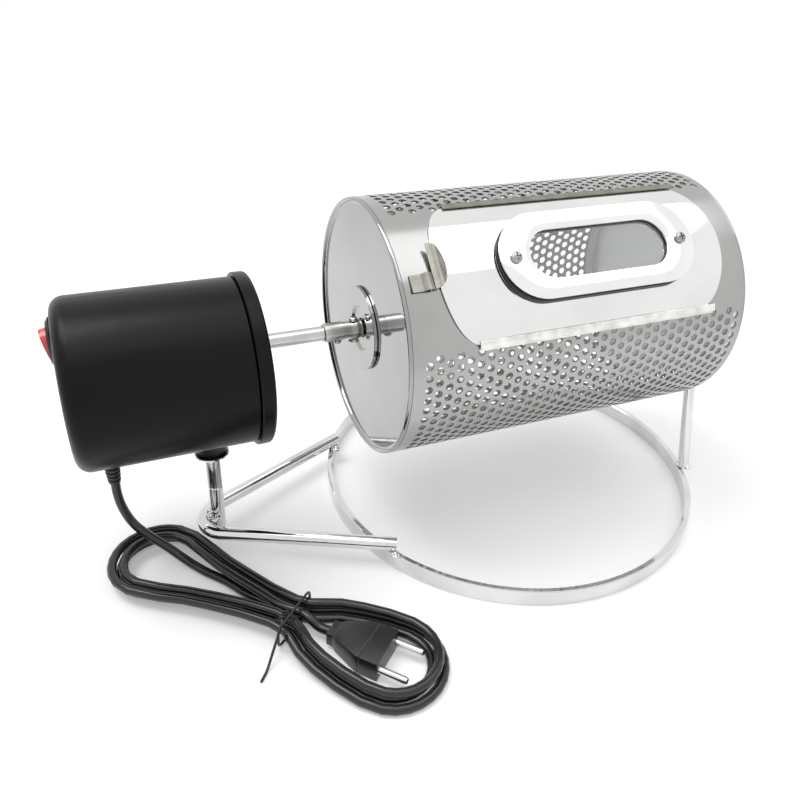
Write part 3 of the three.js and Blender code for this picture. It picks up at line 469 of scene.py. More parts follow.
# V frame: one chromed rod, bent round the motor post. Its two ends are cut off square and are
# welded on top of the ring.
def joined(name, pieces):
    alone(pieces[0])
    for piece in pieces:
        piece.select_set(True)
    bpy.ops.object.join()
    pieces[0].name = name
    return pieces[0]


def welded(name, *beads):
    """Lumpy drops of weld, plated with the rods: each a place, a size, a squash and a lean."""
    drops = []
    for place, size, squash, lean in beads:
        bpy.ops.mesh.primitive_ico_sphere_add(subdivisions=4, radius=size, location=(0, 0, 0))
        drop = bpy.context.object
        for corner in drop.data.vertices:
            out = corner.co.normalized()
            corner.co *= (1 + 0.09 * math.sin(out.x * 9 + lean * 7)
                          + 0.07 * math.sin(out.y * 13 + out.z * 6))
            corner.co.z *= squash
        drop.data.transform(Matrix.Translation(place) @ Matrix.Rotation(lean, 4, "X"))
        drops.append(drop)
    chromed(joined(name, drops))


rod_radius = 0.004
v_height = ring_tall + 0.0003 + rod_radius
post_x = near_rim - 0.0855
v_bend = 0.014
v_bend_x = near_rim - 0.0798
v_end = (near_rim + 0.004, 0.055)
v_reach = math.hypot(v_end[0] - v_bend_x, v_end[1])
v_turn = math.atan2(v_end[1], v_end[0] - v_bend_x) + math.acos(v_bend / v_reach)
v_points = [Vector((*v_end, v_height))]
for step in range(33):
    turn = v_turn + (2 * math.pi - 2 * v_turn) * step / 32
    v_points.append(Vector((v_bend_x + v_bend * math.cos(turn), v_bend * math.sin(turn),
                            v_height)))
v_points.append(Vector((v_end[0], -v_end[1], v_height)))
chromed(swept("bent_rod", v_points, rod_radius, 6), "v_frame")
weld_middle, weld_radius, weld_y = near_rim + 0.1059, 0.1178, 0.0523
weld_x = weld_middle - math.sqrt(weld_radius ** 2 - weld_y ** 2)
welded("ring_welds", *[bead for side in (-1, 1) for bead in (
    ((weld_x + 0.0022, side * (weld_y - 0.0026), ring_tall + 0.0004), 0.0031, 0.5, 0.3 * side),
    ((weld_x + 0.0012, side * (weld_y + 0.0068), ring_tall + 0.0006), 0.0027, 0.6, -0.2 * side))])


# Motor post: an upright chromed rod, welded inside the bend of the V frame. Its upper part is
# threaded, and carries a washer that the casing's boss stands on.
post_low, post_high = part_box("motor_post")
post_outline = [(0, 0), (0, 0.0036), (0.0004, rod_radius), (0.0285, rod_radius)]
thread_pitch, thread_root = 0.00125, rod_radius - 0.0004
for turn in range(17):
    ridge = 0.029 + thread_pitch * turn
    post_outline += [(ridge, thread_root), (ridge + 0.0003, thread_root),
                     (ridge + 0.0006, rod_radius), (ridge + 0.0009, rod_radius)]
post_tall = post_high.z - post_low.z
post_outline += [(0.0515, 0.0039), (post_tall - 0.0005, 0.0039), (post_tall, 0.0034),
                 (post_tall, 0)]
chromed(turned("threaded_post", post_outline, (post_x, 0, post_low.z), (0, 0, 1), 40),
        "motor_post")
washer_low, washer_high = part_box("post_washer")
washer_thick = washer_high.z - washer_low.z
washer_outline = [(0, 0.0043), (0, 0.0091), (0.0004, 0.0095), (washer_thick - 0.0004, 0.0095),
                  (washer_thick, 0.0091), (washer_thick, 0.0043), (0, 0.0043)]
chromed(turned("washer_disc", washer_outline, (post_x, 0, washer_low.z), (0, 0, 1), 48),
        "post_washer")
welded("post_welds",
       ((post_x - 0.0016, 0.0046, v_height + 0.0034), 0.0031, 0.7, 0.5),
       ((post_x - 0.0012, -0.0045, v_height + 0.0032), 0.0029, 0.75, -0.4),
       ((post_x - 0.0042, 0, v_height + 0.0035), 0.0027, 0.7, 0.1))


# Rear arch: one chromed rod bent over a former, with its feet welded on the far side of the ring.
# The saddle plate on its crown has an open slot, so that the drum lifts out upwards.
rear_x = near_rim + 0.2165
rear_radius, rear_foot, rear_lean, rear_top = 0.0035, 0.0468, 0.224, 0.112
foot_height = ring_tall + 0.0003
slant = math.cos(math.atan(rear_lean))
arch_radius = slant * (rear_foot - rear_lean * (rear_top - foot_height)) / (1 - slant * rear_lean)
arch_middle = rear_top - arch_radius
arch_start = math.pi - math.atan(rear_lean)
arch_points = [Vector((rear_x, -rear_foot, foot_height))]
for step in range(25):
    turn = arch_start - (2 * arch_start - math.pi) * step / 24
    arch_points.append(Vector((rear_x, arch_radius * math.cos(turn),
                               arch_middle + arch_radius * math.sin(turn))))
arch_points.append(Vector((rear_x, rear_foot, foot_height)))
chromed(swept("arch_rod", arch_points, rear_radius, 6), "rear_frame")
welded("foot_welds", *[bead for side in (-1, 1) for bead in (
    ((rear_x - 0.0022, side * 0.0448, foot_height + 0.001), 0.0028, 0.6, 0.4 * side),
    ((rear_x + 0.0012, side * 0.0493, foot_height + 0.0008), 0.0026, 0.6, -0.3 * side))])


def olive_finish(name, colour, roughness):
    """Tumbled grey steel with fine rubbed scratches and a soft mottle."""
    finish = Finish(name, {"Metallic": 1.0})
    rubbed = finish.noise(90, 3, (6, 1, 1), (0, 0, 0.4))
    return finish.surface(finish.ramp(finish.noise(160, 4), shades(colour, 0.72, 0.32, 0.68)),
                          rubbed * 0.22 + (roughness - 0.1), rubbed, 0.00006, 0.5)


def painted(finish, *nodes):
    """Gives its material to each CAD piece that is shown as it is."""
    for node in nodes:
        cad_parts[node].data.materials.clear()
        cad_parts[node].data.materials.append(finish)


painted(olive_finish("saddle_steel", (0.56, 0.56, 0.53), 0.34), "axle_saddle")


# Motor casing: a deep moulded cup in black plastic with a rounded end, pushed over a flanged
# cover. It is filled by the synchronous motor and its gearbox, and stands on a conical boss.
def arc(middle, centre_radius, size, start, end, steps=10):
    """Points of a rounded edge, as (distance along the axis, radius)."""
    turns = [math.radians(start + (end - start) * step / steps) for step in range(steps + 1)]
    return [(middle + size * math.sin(turn), centre_radius + size * math.cos(turn))
            for turn in turns]


def casing_finish(name, roughness):
    """Black moulded plastic: satin skin with soft flow marks, hairline scuffs and dust."""
    finish = Finish(name, {"Specular IOR Level": 0.15})
    flow = finish.noise(14, 3, (1, 3, 3))
    scuffs = finish.noise(55, 5, (1, 7, 2), (0.5, 0, 0.3))
    black = finish.ramp(flow, [(0.35, (0.0035, 0.0035, 0.0037)), (0.7, (0.006, 0.006, 0.0063))])
    return finish.surface(black, flow * 0.1 + scuffs ** 4.0 * 0.5 + (roughness - 0.07),
                          finish.noise(1100, 2) * 0.4 + flow * 2.0, 0.00005, 0.6)


casing_drop = 0.0082
casing_height = axis_height - casing_drop
switch_height = casing_height + 0.0243
casing_radius, casing_wall, casing_round = 0.0434, 0.0024, 0.007
casing_back = near_rim - 0.152
casing_long = 0.0867
inner_round = casing_round - casing_wall
casing_outline = [(0, 0)] + arc(casing_round, casing_radius - casing_round, casing_round, -90, 0)
casing_outline += [(casing_long - 0.0006, casing_radius), (casing_long, casing_radius - 0.0006),
                   (casing_long, casing_radius - casing_wall)]
casing_outline += arc(casing_round, casing_radius - casing_round, inner_round, 0, -90)
casing_outline += [(casing_wall, 0)]
casing_piece = turned("casing_cup", casing_outline, (casing_back, 0, casing_height), (1, 0, 0), 128)


def modified(piece, kind, settings):
    """Adds a modifier and applies it."""
    alone(piece)
    change = piece.modifiers.new("change", kind)
    for name, value in settings.items():
        setattr(change, name, value)
    bpy.ops.object.modifier_apply(modifier="change")


def cut_by(piece, cutter, operation="DIFFERENCE"):
    """Cuts a piece with another, which is used up."""
    modified(piece, "BOOLEAN", {"operation": operation, "solver": "EXACT", "object": cutter})
    bpy.data.objects.remove(cutter)


def bar(radius, start, end, height):
    """A plain round bar along the machine's length, to cut with."""
    return turned("bar", [(0, 0), (0, radius), (end - start, radius), (end - start, 0)],
                  (start, 0, height), (1, 0, 0))


cut_by(casing_piece, bar(0.0103, casing_back - 0.005, casing_back + 0.005, switch_height))
casing_plastic = casing_finish("casing_plastic", 0.3)
fitted(casing_piece, casing_plastic, "stand", "black_plastic", "motor_housing")

cover_radius, cover_edge, cover_deep = 0.0454, 0.002, 0.0072
cover_face = near_rim - 0.0578
cover_outline = [(0, 0.0088), (0, cover_radius - cover_edge)]
cover_outline += arc(-cover_edge, cover_radius - cover_edge, cover_edge, 90, 0, 8)
cover_outline += [(-cover_deep + 0.0005, cover_radius), (-cover_deep, cover_radius - 0.0005),
                  (-cover_deep, 0.0407), (-0.0142, 0.0407), (-0.0142, 0.0387), (-0.0032, 0.0387),
                  (-0.0032, 0.0088), (0, 0.0088)]
cover_piece = turned("cover_lid", cover_outline, (cover_face, 0, casing_height), (1, 0, 0), 128)
for corner in cover_piece.data.vertices:
    if math.hypot(corner.co.y, corner.co.z - casing_height) < 0.009:
        corner.co.z += casing_drop
fitted(cover_piece, casing_plastic, "stand", "black_plastic", "housing_cover")

boss_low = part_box("mounting_boss")[0]
boss_outline = [(0, 0.0043), (0, 0.0079), (0.0006, 0.0085), (0.0098, 0.0115), (0.0114, 0.0132),
                (0.0114, 0.0043), (0, 0.0043)]
boss_piece = turned("casing_boss", boss_outline, (post_x, 0, boss_low.z), (0, 0, 1))
for corner in boss_piece.data.vertices:
    wall = casing_height - math.sqrt((casing_radius + 0.0003) ** 2 - corner.co.y ** 2)
    corner.co.z = min(corner.co.z, wall) if corner.co.z < boss_low.z + 0.0110 else wall
fitted(boss_piece, casing_plastic, "stand", "black_plastic", "mounting_boss")


# Inside the casing: the flat synchronous motor, its gearbox in a zinc-plated can and the turned
# brass bush that the output shaft runs in. The pan-head screws hold the gearbox to the cover.
zinc = olive_finish("zinc_plate", (0.62, 0.62, 0.6), 0.3)
turned_brass = olive_finish("turned_brass", (0.72, 0.55, 0.28), 0.28)
painted(zinc, "gearbox", "synchronous_motor")
bush_low, bush_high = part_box("output_bush")
bush_long = bush_high.x - bush_low.x
bush_outline = [(0, 0.0043), (0, 0.0085), (bush_long - 0.0004, 0.0085), (bush_long, 0.0081),
                (bush_long, 0.0043), (0, 0.0043)]
fitted(turned("turned_bush", bush_outline, (bush_low.x, 0, axis_height), (1, 0, 0), 48),
       turned_brass, "stand", "brass", "output_bush")


def cut_by_box(piece, low, high):
    """Cuts a square hole through a piece."""
    middle = (Vector(low) + Vector(high)) / 2
    bpy.ops.mesh.primitive_cube_add(size=1, location=middle, scale=Vector(high) - Vector(low))
    cut_by(piece, bpy.context.object)


def pan_screw(name, place, direction, shank, length, head, tall):
    """A pan-head screw with a cross recess in its head."""
    outline = [(-length, 0), (-length, shank), (0, shank), (0, head - 0.0002), (0.0002, head),
               (tall * 0.45, head), (tall * 0.75, head * 0.88), (tall * 0.93, head * 0.62),
               (tall, head * 0.3), (tall, 0)]
    screw = turned(name, outline, (0, 0, 0), (1, 0, 0), 32)
    slot_half, slot_reach, slot_floor = head * 0.13, head * 0.62, tall * 0.5
    for wide, high in ((slot_half, slot_reach), (slot_reach, slot_half)):
        cut_by_box(screw, (slot_floor, -wide, -high), (tall * 2, wide, high))
    screw.data.transform(aimed(place, direction))
    return screw


for side in ("left", "right"):
    screw_low, screw_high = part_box("motor_screw_" + side)
    screw_place = (cover_face + 0.0003, (screw_low.y + screw_high.y) / 2, casing_height)
    chromed(pan_screw("cover_screw_" + side, screw_place, (1, 0, 0),
                      shank=0.0015, length=0.0115, head=0.0032, tall=0.0022), "motor_screw_" + side)


# Rocker switch: a round black bezel that snaps into the casing's end, with a red rocker that
# tips on a pin. It is drawn pressed at its lower end.
bezel_face, bezel_proud = 0.0103, 0.0017
bezel_front = casing_back - 0.0003 - bezel_proud
bezel_outline = [
    (0.0004, 0.0092), (0, 0.0096), (0, bezel_face - 0.0003), (0.0002, bezel_face),
    (bezel_proud - 0.0004, 0.0119), (bezel_proud - 0.0001, 0.012), (bezel_proud, 0.0118),
    (bezel_proud, 0.01), (0.015, 0.01), (0.015, 0), (0.0126, 0), (0.0126, 0.0092), (0.0004, 0.0092),
]
fitted(turned("switch_bezel_ring", bezel_outline, (bezel_front, 0, switch_height), (1, 0, 0), 72),
       casing_plastic, "stand", "black_plastic", "switch_bezel")


def extruded(name, outline, reach):
    """A flat outline of corners, drawn out by a vector."""
    plate = meshed(name, outline, [], [list(range(len(outline)))])
    return edited(plate, (bpy.ops.mesh.extrude_region_move, {
        "TRANSFORM_OT_translate": {"value": reach}}))


rocker_radius, rocker_tip, rocker_dip, rocker_tilt = 0.008, 0.0049, 0.0005, math.radians(-12)
rocker_side = []
for step in range(13):
    share = 1 - step / 6
    rocker_side.append((rocker_tip - rocker_dip * (1 - share * share), rocker_radius * share))
rocker_side += [(0.002, -rocker_radius), (-0.002, -0.005), (-0.002, 0.005), (0.002, rocker_radius)]
rocker_piece = extruded("rocker_key", [(-out, -rocker_radius, up) for out, up in rocker_side],
                        (0, 2 * rocker_radius, 0))
cut_by(rocker_piece, bar(rocker_radius - 0.0001, -0.01, 0.01, 0), "INTERSECT")
modified(rocker_piece, "BEVEL", {"width": 0.0004, "segments": 3, "limit_method": "ANGLE",
                                 "angle_limit": math.radians(50)})
rocker_piece.data.transform(Matrix.Translation((casing_back + 0.001, 0, switch_height))
                            @ Matrix.Rotation(rocker_tilt, 4, "Y"))


def rocker_finish(name):
    """Red tinted plastic, glossy, a little lighter where it is thick."""
    finish = Finish(name, {"Roughness": 0.16, "Coat Weight": 0.6, "Coat Roughness": 0.08,
                           "Subsurface Weight": 0.1, "Subsurface Radius": (0.003, 0.001, 0.001)})
    finish.feed("Base Color", finish.ramp(finish.noise(120, 3), [
        (0.3, (0.62, 0.035, 0.03)), (0.7, (0.78, 0.07, 0.06))]))
    finish.bump(finish.noise(500, 2), 0.00002, 0.5)
    return finish.material


fitted(rocker_piece, rocker_finish("rocker_red"), "rocker", "red_plastic", "switch_rocker")


# Drive shaft and coupling: the motor's ground steel shaft enters a grooved sleeve, which a set
# screw locks on it. A cross bolt holds the drum's hollow near axle in the sleeve's other end.
def ground_finish(name, colour, roughness):
    """Ground round steel, with fine lines that run round the bar."""
    finish = Finish(name, {"Metallic": 1.0})
    lines = finish.noise(900, 2, (3, 0.05, 0.05))
    return finish.surface(finish.ramp(finish.noise(70, 3), shades(colour, 0.8, 0.35, 0.65)),
                          lines * 0.18 + (roughness - 0.09), lines, 0.00003, 0.6)


ground_steel = ground_finish("ground_steel", (0.62, 0.615, 0.6), 0.22)
shaft_low, shaft_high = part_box("drive_shaft")
shaft_long = shaft_high.x - shaft_low.x
shaft_outline = [(0, 0), (0, 0.0037), (0.0003, 0.004), (shaft_long - 0.0004, 0.004),
                 (shaft_long, 0.0036), (shaft_long, 0)]
fitted(turned("motor_shaft", shaft_outline, (shaft_low.x, 0, axis_height), (1, 0, 0)),
       ground_steel, "drum", "polished_steel", "drive_shaft")

sleeve_low, sleeve_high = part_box("coupling_sleeve")
sleeve_radius, sleeve_bore = 0.0052, 0.0043
sleeve_long = sleeve_high.x - sleeve_low.x
sleeve_outline = [(0, sleeve_bore), (0, sleeve_radius - 0.0004), (0.0004, sleeve_radius)]
groove_floor = sleeve_radius - 0.00035
for groove in range(5):
    groove_x = 0.0105 + 0.00095 * groove
    sleeve_outline += [(groove_x, sleeve_radius), (groove_x + 0.0002, groove_floor),
                       (groove_x + 0.0005, groove_floor), (groove_x + 0.0007, sleeve_radius)]
sleeve_outline += [(sleeve_long - 0.0004, sleeve_radius), (sleeve_long, sleeve_radius - 0.0004),
                   (sleeve_long, sleeve_bore), (0, sleeve_bore)]
fitted(turned("grooved_sleeve", sleeve_outline, (sleeve_low.x, 0, axis_height), (1, 0, 0)),
       ground_steel, "drum", "polished_steel", "coupling_sleeve")

bolt_x = near_rim - 0.0039
bolt_seat = sleeve_radius + 0.0002
nut_outline = [(0, 0), (0, 0.0021), (0.0002, 0.0024), (0.0016, 0.0024), (0.0018, 0.0021),
               (0.0018, 0)]
bolt_and_nut = [
    pan_screw("cross_screw", (bolt_x, 0, axis_height + bolt_seat), (0, 0, 1),
              shank=0.0013, length=2 * bolt_seat, head=0.0024, tall=0.002),
    turned("cross_nut", nut_outline, (bolt_x, 0, axis_height - bolt_seat - 0.0019), (0, 0, 1), 6)]
fitted(joined("cross_bolt_and_nut", bolt_and_nut), zinc, "drum", "zinc_plate", "cross_bolt")
set_place = (near_rim - 0.0128, 0, axis_height - bolt_seat)
fitted(pan_screw("sleeve_screw", set_place, (0, 0, -1),
                 shank=0.0014, length=0.001, head=0.0022, tall=0.0018),
       zinc, "set_screw", "zinc_plate", "coupling_screw")

drum_long = 0.205
drum_ends = (("near", 1, near_rim), ("far", -1, near_rim + drum_long))
for end, toward, _ in drum_ends:
    axle_low, axle_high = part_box(end + "_axle")
    axle_long = axle_high.x - axle_low.x
    axle_start = axle_low.x if toward > 0 else axle_high.x
    axle_outline = [(0, 0), (0, 0.0036), (0.0004, 0.004), (axle_long - 0.003, 0.004),
                    (axle_long - 0.003, 0.0086), (axle_long - 0.0026, 0.009),
                    (axle_long - 0.0004, 0.009), (axle_long, 0.0086), (axle_long, 0)]
    fitted(turned(end + "_stub", axle_outline, (axle_start, 0, axis_height), (toward, 0, 0)),
           ground_steel, "drum", "polished_steel", end + "_axle")


# End caps: pressed stainless discs, polished to a mirror and rolled over the shell's edge in a
# bright bead. A flat hub plate, whose edge is turned back, is fixed in the middle of each.
def mirror_finish(name, colour, roughness, rings=False, dull_and_lightened_inside=False):
    """Polished stainless: faint lines round the axis, soft waves from pressing, and smears. The
    side that faces into the drum can be left dull, and its colour is then also lifted there as
    painted light."""
    finish = Finish(name, {"Metallic": 1.0})
    along, across, up = finish.spot("X"), finish.spot("Y"), finish.spot("Z") - axis_height
    spread = (across * across + up * up) ** 0.5
    lines = finish.node("TexNoise", {"noise_dimensions": "2D"}, {
        "Vector": finish.node("CombineXYZ", {}, {"X": (spread if rings else along) * 60.0}),
        "Scale": 40.0, "Detail": 3.0})
    smears = finish.noise(22, 4)
    shade = finish.ramp(smears, shades(colour, 0.9, 0.3, 0.65))
    polish = lines * 0.05 + smears * 0.06 + (roughness - 0.05)
    if dull_and_lightened_inside:
        outside = 0.0998
        depth = ((along - (near_rim + drum_long / 2)) ** 2.0) ** 0.5 - outside
        inner = finish.ramp(depth * 500.0, [(0.0, (1, 1, 1)), (0.2, (0, 0, 0))])
        polish = polish + inner * 0.45
        # painted light: the colour of the inside is lifted towards white
        shade = shade + inner * 0.5
    return finish.surface(shade, polish, finish.noise(16, 1) * 8.0 + lines * 0.06, 0.0001, 0.3)


drum_radius = 0.070
cap_outline = [(0.002, 0.0046), (0.002, 0.0664), (0.002, 0.0668), (0.0017, 0.0674),
               (0.0006, 0.0679)]
cap_outline += arc(0.0013, drum_radius - 0.0013, 0.0013, -90, 60)
cap_outline += [(0.002, drum_radius - 0.0004), (0.002, 0.0689), (0.009, 0.0689), (0.009, 0.0681),
                (0.0034, 0.0681), (0.0028, 0.067), (0.0028, 0.0665), (0.0028, 0.0046),
                (0.002, 0.0046)]
hub_outline = [(0.0017, 0.0056), (0.0012, 0.0056), (0.0012, 0.0115), (0.0009, 0.0119),
               (0.0002, 0.0126), (0, 0.013), (0, 0.0135), (0, 0.0222), (0, 0.0226),
               (0.0002, 0.0229), (0.0005, 0.023), (0.0016, 0.023), (0.0016, 0.0124),
               (0.0017, 0.012), (0.0017, 0.0056)]
cap_colour = (0.38, 0.395, 0.38)
cap_steel = mirror_finish("cap_steel", cap_colour, 0.05, rings=True, dull_and_lightened_inside=True)
hub_steel = mirror_finish("hub_steel", cap_colour, 0.06, rings=True)
for end, toward, rim_x in drum_ends:
    for name, outline, steel, steps, node in (("_disc", cap_outline, cap_steel, 160, "_cap"),
                                              ("_dish", hub_outline, hub_steel, 96, "_hub")):
        fitted(turned(end + name, outline, (rim_x, 0, axis_height), (toward, 0, 0), steps),
               steel, "drum", "polished_steel", end + node)


# Drum shell: perforated stainless sheet, punched flat in a close staggered pattern and rolled
# into a tube. A plain band is left under the door, with the loading opening cut out of it.
door_turn = math.radians(44.5)
drum_frame = Matrix.Translation((near_rim, 0, axis_height)) @ Matrix.Rotation(door_turn, 4, "X")


def rolled(piece):
    """Rolls a flat pattern of (along, around, thickness) about the drum's axis."""
    for corner in piece.data.vertices:
        turn = corner.co.y / drum_radius
        reach = drum_radius + corner.co.z
        corner.co = Vector((corner.co.x, reach * math.sin(turn), reach * math.cos(turn)))
    piece.data.transform(drum_frame)
    return piece


def repeated(piece, count, offset):
    modified(piece, "ARRAY", {"count": count, "use_relative_offset": False,
                              "use_constant_offset": True, "constant_offset_displace": offset})


hole_radius, hole_pitch, column_pitch = 0.0021, 0.00635, 0.005538
sheet_thick = 0.0008
first_column = 0.0103
shell_start, shell_end = 0.002, 0.203
band_low, band_high = -math.radians(31.5) * drum_radius, math.radians(29.5) * drum_radius
pattern_long = 2 * math.pi * drum_radius - (band_high - band_low)
row_count = math.floor((pattern_long - hole_pitch / 2) / hole_pitch)
pattern_start = band_high + (pattern_long - (row_count + 0.5) * hole_pitch) / 2 + hole_pitch / 2
patches = []
squeeze = column_pitch / (hole_pitch * math.sqrt(3) / 2)
column_counts = (18, 17)
for stagger, columns in enumerate(column_counts):
    hole_x = first_column + stagger * column_pitch
    hole_y = pattern_start + stagger * hole_pitch / 2
    turns = [math.radians(30 * step) for step in range(12)]
    corners = [(hole_x + hole_radius * math.cos(turn), hole_y + hole_radius * math.sin(turn), 0)
               for turn in turns]
    for step, turn in enumerate(turns):
        reach = hole_pitch / 2 if step % 2 else hole_pitch / math.sqrt(3)
        corners.append((hole_x + squeeze * reach * math.cos(turn),
                        hole_y + reach * math.sin(turn), 0))
    faces = [(step, 12 + step, 12 + (step + 1) % 12, (step + 1) % 12) for step in range(12)]
    patch = meshed("patch", corners, [], faces)
    repeated(patch, columns, (2 * column_pitch, 0, 0))
    repeated(patch, row_count, (0, hole_pitch, 0))
    patches.append(patch)
shell_piece = edited(joined("perforated_shell", patches), (bpy.ops.mesh.remove_doubles, {
    "threshold": 0.00005}))
if shell_piece.data.polygons[0].normal.z < 0:
    shell_piece.data.flip_normals()
last_column = first_column + (sum(column_counts) - 1) * column_pitch
edge_gap = 0.0017
for corner in shell_piece.data.vertices:
    spot = corner.co
    column = round((spot.x - first_column) / column_pitch)
    shift = (column % 2) * hole_pitch / 2
    row = round((spot.y - pattern_start - shift) / hole_pitch)
    hole = Vector((first_column + column * column_pitch,
                   pattern_start + shift + row * hole_pitch, 0))
    if (spot - hole).length < hole_radius * 1.1:
        continue
    if spot.x < first_column - edge_gap:
        spot.x = shell_start
    elif spot.x > last_column + edge_gap:
        spot.x = shell_end
    if spot.y < pattern_start + 0.0001:
        spot.y = band_high
    elif spot.y > pattern_start + (row_count - 0.5) * hole_pitch - 0.0001:
        spot.y = band_high + pattern_long
modified(shell_piece, "SOLIDIFY", {"thickness": sheet_thick, "offset": -1})
rolled(shell_piece)

bpy.ops.mesh.primitive_grid_add(x_subdivisions=2, y_subdivisions=40, size=1)
band_piece = bpy.context.object
for corner in band_piece.data.vertices:
    corner.co = (shell_start + (corner.co.x + 0.5) * (shell_end - shell_start),
                 band_low + (corner.co.y + 0.5) * (band_high - band_low), 0)
modified(band_piece, "SOLIDIFY", {"thickness": sheet_thick, "offset": -1})
opening_start, opening_end, opening_half = 0.042, 0.168, 0.0275
cut_by_box(band_piece, (opening_start, -opening_half, -0.01), (opening_end, opening_half, 0.01))
fitted(joined("perforated_shell", [shell_piece, rolled(band_piece)]),
       mirror_finish("shell_steel", (0.44, 0.44, 0.43), 0.19),
       "drum", "polished_steel", "drum_shell")
vane_steel = mirror_finish("vane_steel", (0.66, 0.66, 0.65), 0.24)
painted(vane_steel, "vane_back", "vane_front")


# Door rails: two folded channels in tumbled steel, spot welded along the shell. Their lips hold
# the door's long edges, so the door slides along the drum.
rail_start, rail_long, door_reach = 0.0365, 0.144, 0.0367
web = math.asin(door_reach / (drum_radius + 0.0003)) * drum_radius + 0.0005
rail_section = [
    (web + 0.0021, 0.0003), (web + 0.0021, 0.0011), (web + 0.0012, 0.0011), (web + 0.0009, 0.0014),
    (web + 0.0009, 0.0020), (web + 0.0006, 0.0024), (web - 0.0031, 0.0024), (web - 0.0031, 0.0016),
    (web, 0.0016), (web, 0.0003)]
# Both rails are the same tumbled steel: the upper rail's dark colour is painted shade and the lower
# rail's pale colour is painted light.
for node, side, colour, roughness in (("rail_top", 1, (0.3, 0.29, 0.25), 0.42),
                                      ("rail_bottom", -1, (0.93, 0.92, 0.89), 0.3)):
    rail_piece = rolled(extruded(
        node + "_channel", [(rail_start, side * around, lift) for around, lift in rail_section],
        (rail_long, 0, 0)))
    modified(rail_piece, "BEVEL", {"width": 0.00012, "segments": 1, "limit_method": "ANGLE"})
    fitted(rail_piece, olive_finish(node + "_steel", colour, roughness),
           "drum", "matte_steel", node)


# Spring latch: a bent strip spot welded on the shell, and a wide creased thumb tab at its end.
# The tab lies over the door's end and is lifted to let the door slide.
latch_steel = olive_finish("latch_steel", (0.37, 0.36, 0.32), 0.33)


def bent_strip(name, profile, middle, half):
    """A strip whose side view is a line of (along, height) points; half gives its half width."""
    rows, columns, thickness = 41, 25, 0.0007
    corners = []
    for step in range(rows):
        spot = between([Vector((x, 0, z)) for x, z in profile], step / (rows - 1))
        corners += [(spot.x, middle + half(spot.x) * (2 * column / (columns - 1) - 1), spot.z)
                    for column in range(columns)]
    faces = [(first, first + columns, first + columns + 1, first + 1)
             for row in range(rows - 1) for first in range(row * columns, (row + 1) * columns - 1)]
    piece = edited(meshed(name, corners, [], faces),
                   (bpy.ops.mesh.remove_doubles, {"threshold": same_spot}))
    if piece.data.polygons[len(piece.data.polygons) // 2].normal.z < 0:
        piece.data.flip_normals()
    modified(piece, "SOLIDIFY", {"thickness": thickness, "offset": -1})
    piece.data.transform(drum_frame)
    return piece


latch_base = drum_radius + 0.001
strip_profile = [
    (0.0055, latch_base), (0.0085, latch_base), (0.0108, latch_base + 0.0001),
    (0.0123, latch_base + 0.0014), (0.014, latch_base + 0.0022), (0.0154, latch_base + 0.0017),
    (0.0164, latch_base + 0.0012)]
fitted(bent_strip("spring_strip", strip_profile, -0.005, lambda x: 0.0043),
       latch_steel, "drum", "matte_steel", "latch_strip")
tab_start, tab_end, tab_half = 0.0168, 0.0252, 0.0116
tab_profile = [
    (tab_start, latch_base + 0.0012), (0.0186, latch_base + 0.0019), (0.0203, latch_base + 0.0028),
    (0.0209, latch_base + 0.0028), (0.0226, latch_base + 0.0018), (tab_end, latch_base + 0.0004)]


def tab_width(x):
    share = (x - tab_start) / (tab_end - tab_start)
    return tab_half * math.sqrt(max(1 - share ** 2, 0.03))


fitted(bent_strip("thumb_tab", tab_profile, 0.0024, tab_width),
       latch_steel, "latch", "matte_steel", "latch_tab")


# Door: a polished stainless plate with rounded ends, rolled to the drum's curve. It carries an
# oval window whose glass is clamped between a steel frame and a rubber gasket by two bolts.
door_start, door_end, door_deep = 0.0194, 0.1895, 0.020
door_lift = 0.0005
door_half = math.asin(door_reach / (drum_radius + 0.0013)) * (drum_radius + door_lift)
bpy.ops.mesh.primitive_grid_add(x_subdivisions=40, y_subdivisions=64, size=1)
door_piece = bpy.context.object
door_piece.name = "sliding_door"
for corner in door_piece.data.vertices:
    around = math.sin(corner.co.y * math.pi)
    inset = door_deep * (1 - math.sqrt(max(1 - around * around, 0)))
    corner.co = (door_start + inset + (corner.co.x + 0.5) * (door_end - door_start - 2 * inset),
                 around * door_half, door_lift)
modified(door_piece, "SOLIDIFY", {"thickness": sheet_thick, "offset": 1})


window_x = 0.1105


def oval_line(half_long, half_wide):
    """The corners of a slot-shaped outline round the window's middle."""
    corners, steps = [], 24
    for side in (1, -1):
        for step in range(steps + 1):
            turn = math.pi * step / steps - math.pi / 2
            corners.append((window_x + side * (half_long - half_wide + half_wide * math.cos(turn)),
                            side * half_wide * math.sin(turn)))
    return corners


def oval_plate(name, outer, inner, low, high, finish, slot, node):
    """A slot-shaped washer, flat on top. low gives the height of its underside at each width."""
    rim, bore = oval_line(*outer), oval_line(*inner)
    count = len(rim)
    corners = [(x, y, low(y) if under else high) for line, under in (
        (rim, True), (rim, False), (bore, False), (bore, True)) for x, y in line]
    faces = []
    for ring in range(4):
        here, there = ring * count, (ring + 1) % 4 * count
        faces += [(here + step, here + (step + 1) % count, there + (step + 1) % count, there + step)
                  for step in range(count)]
    piece = edited(meshed(name, corners, [], faces))
    modified(piece, "BEVEL", {"width": 0.0002, "segments": 2, "limit_method": "ANGLE"})
    piece.data.transform(drum_frame)
    fitted(piece, finish, "door", slot, node)


sight = (0.0413, 0.013)
cut_by(door_piece, extruded("sight_cutter", [(x, y, -0.01) for x, y in oval_line(*sight)],
                            (0, 0, 0.03)))
door_steel = mirror_finish("door_steel", (0.84, 0.845, 0.835), 0.035)
fitted(rolled(door_piece), door_steel, "door", "polished_steel", "door_plate")

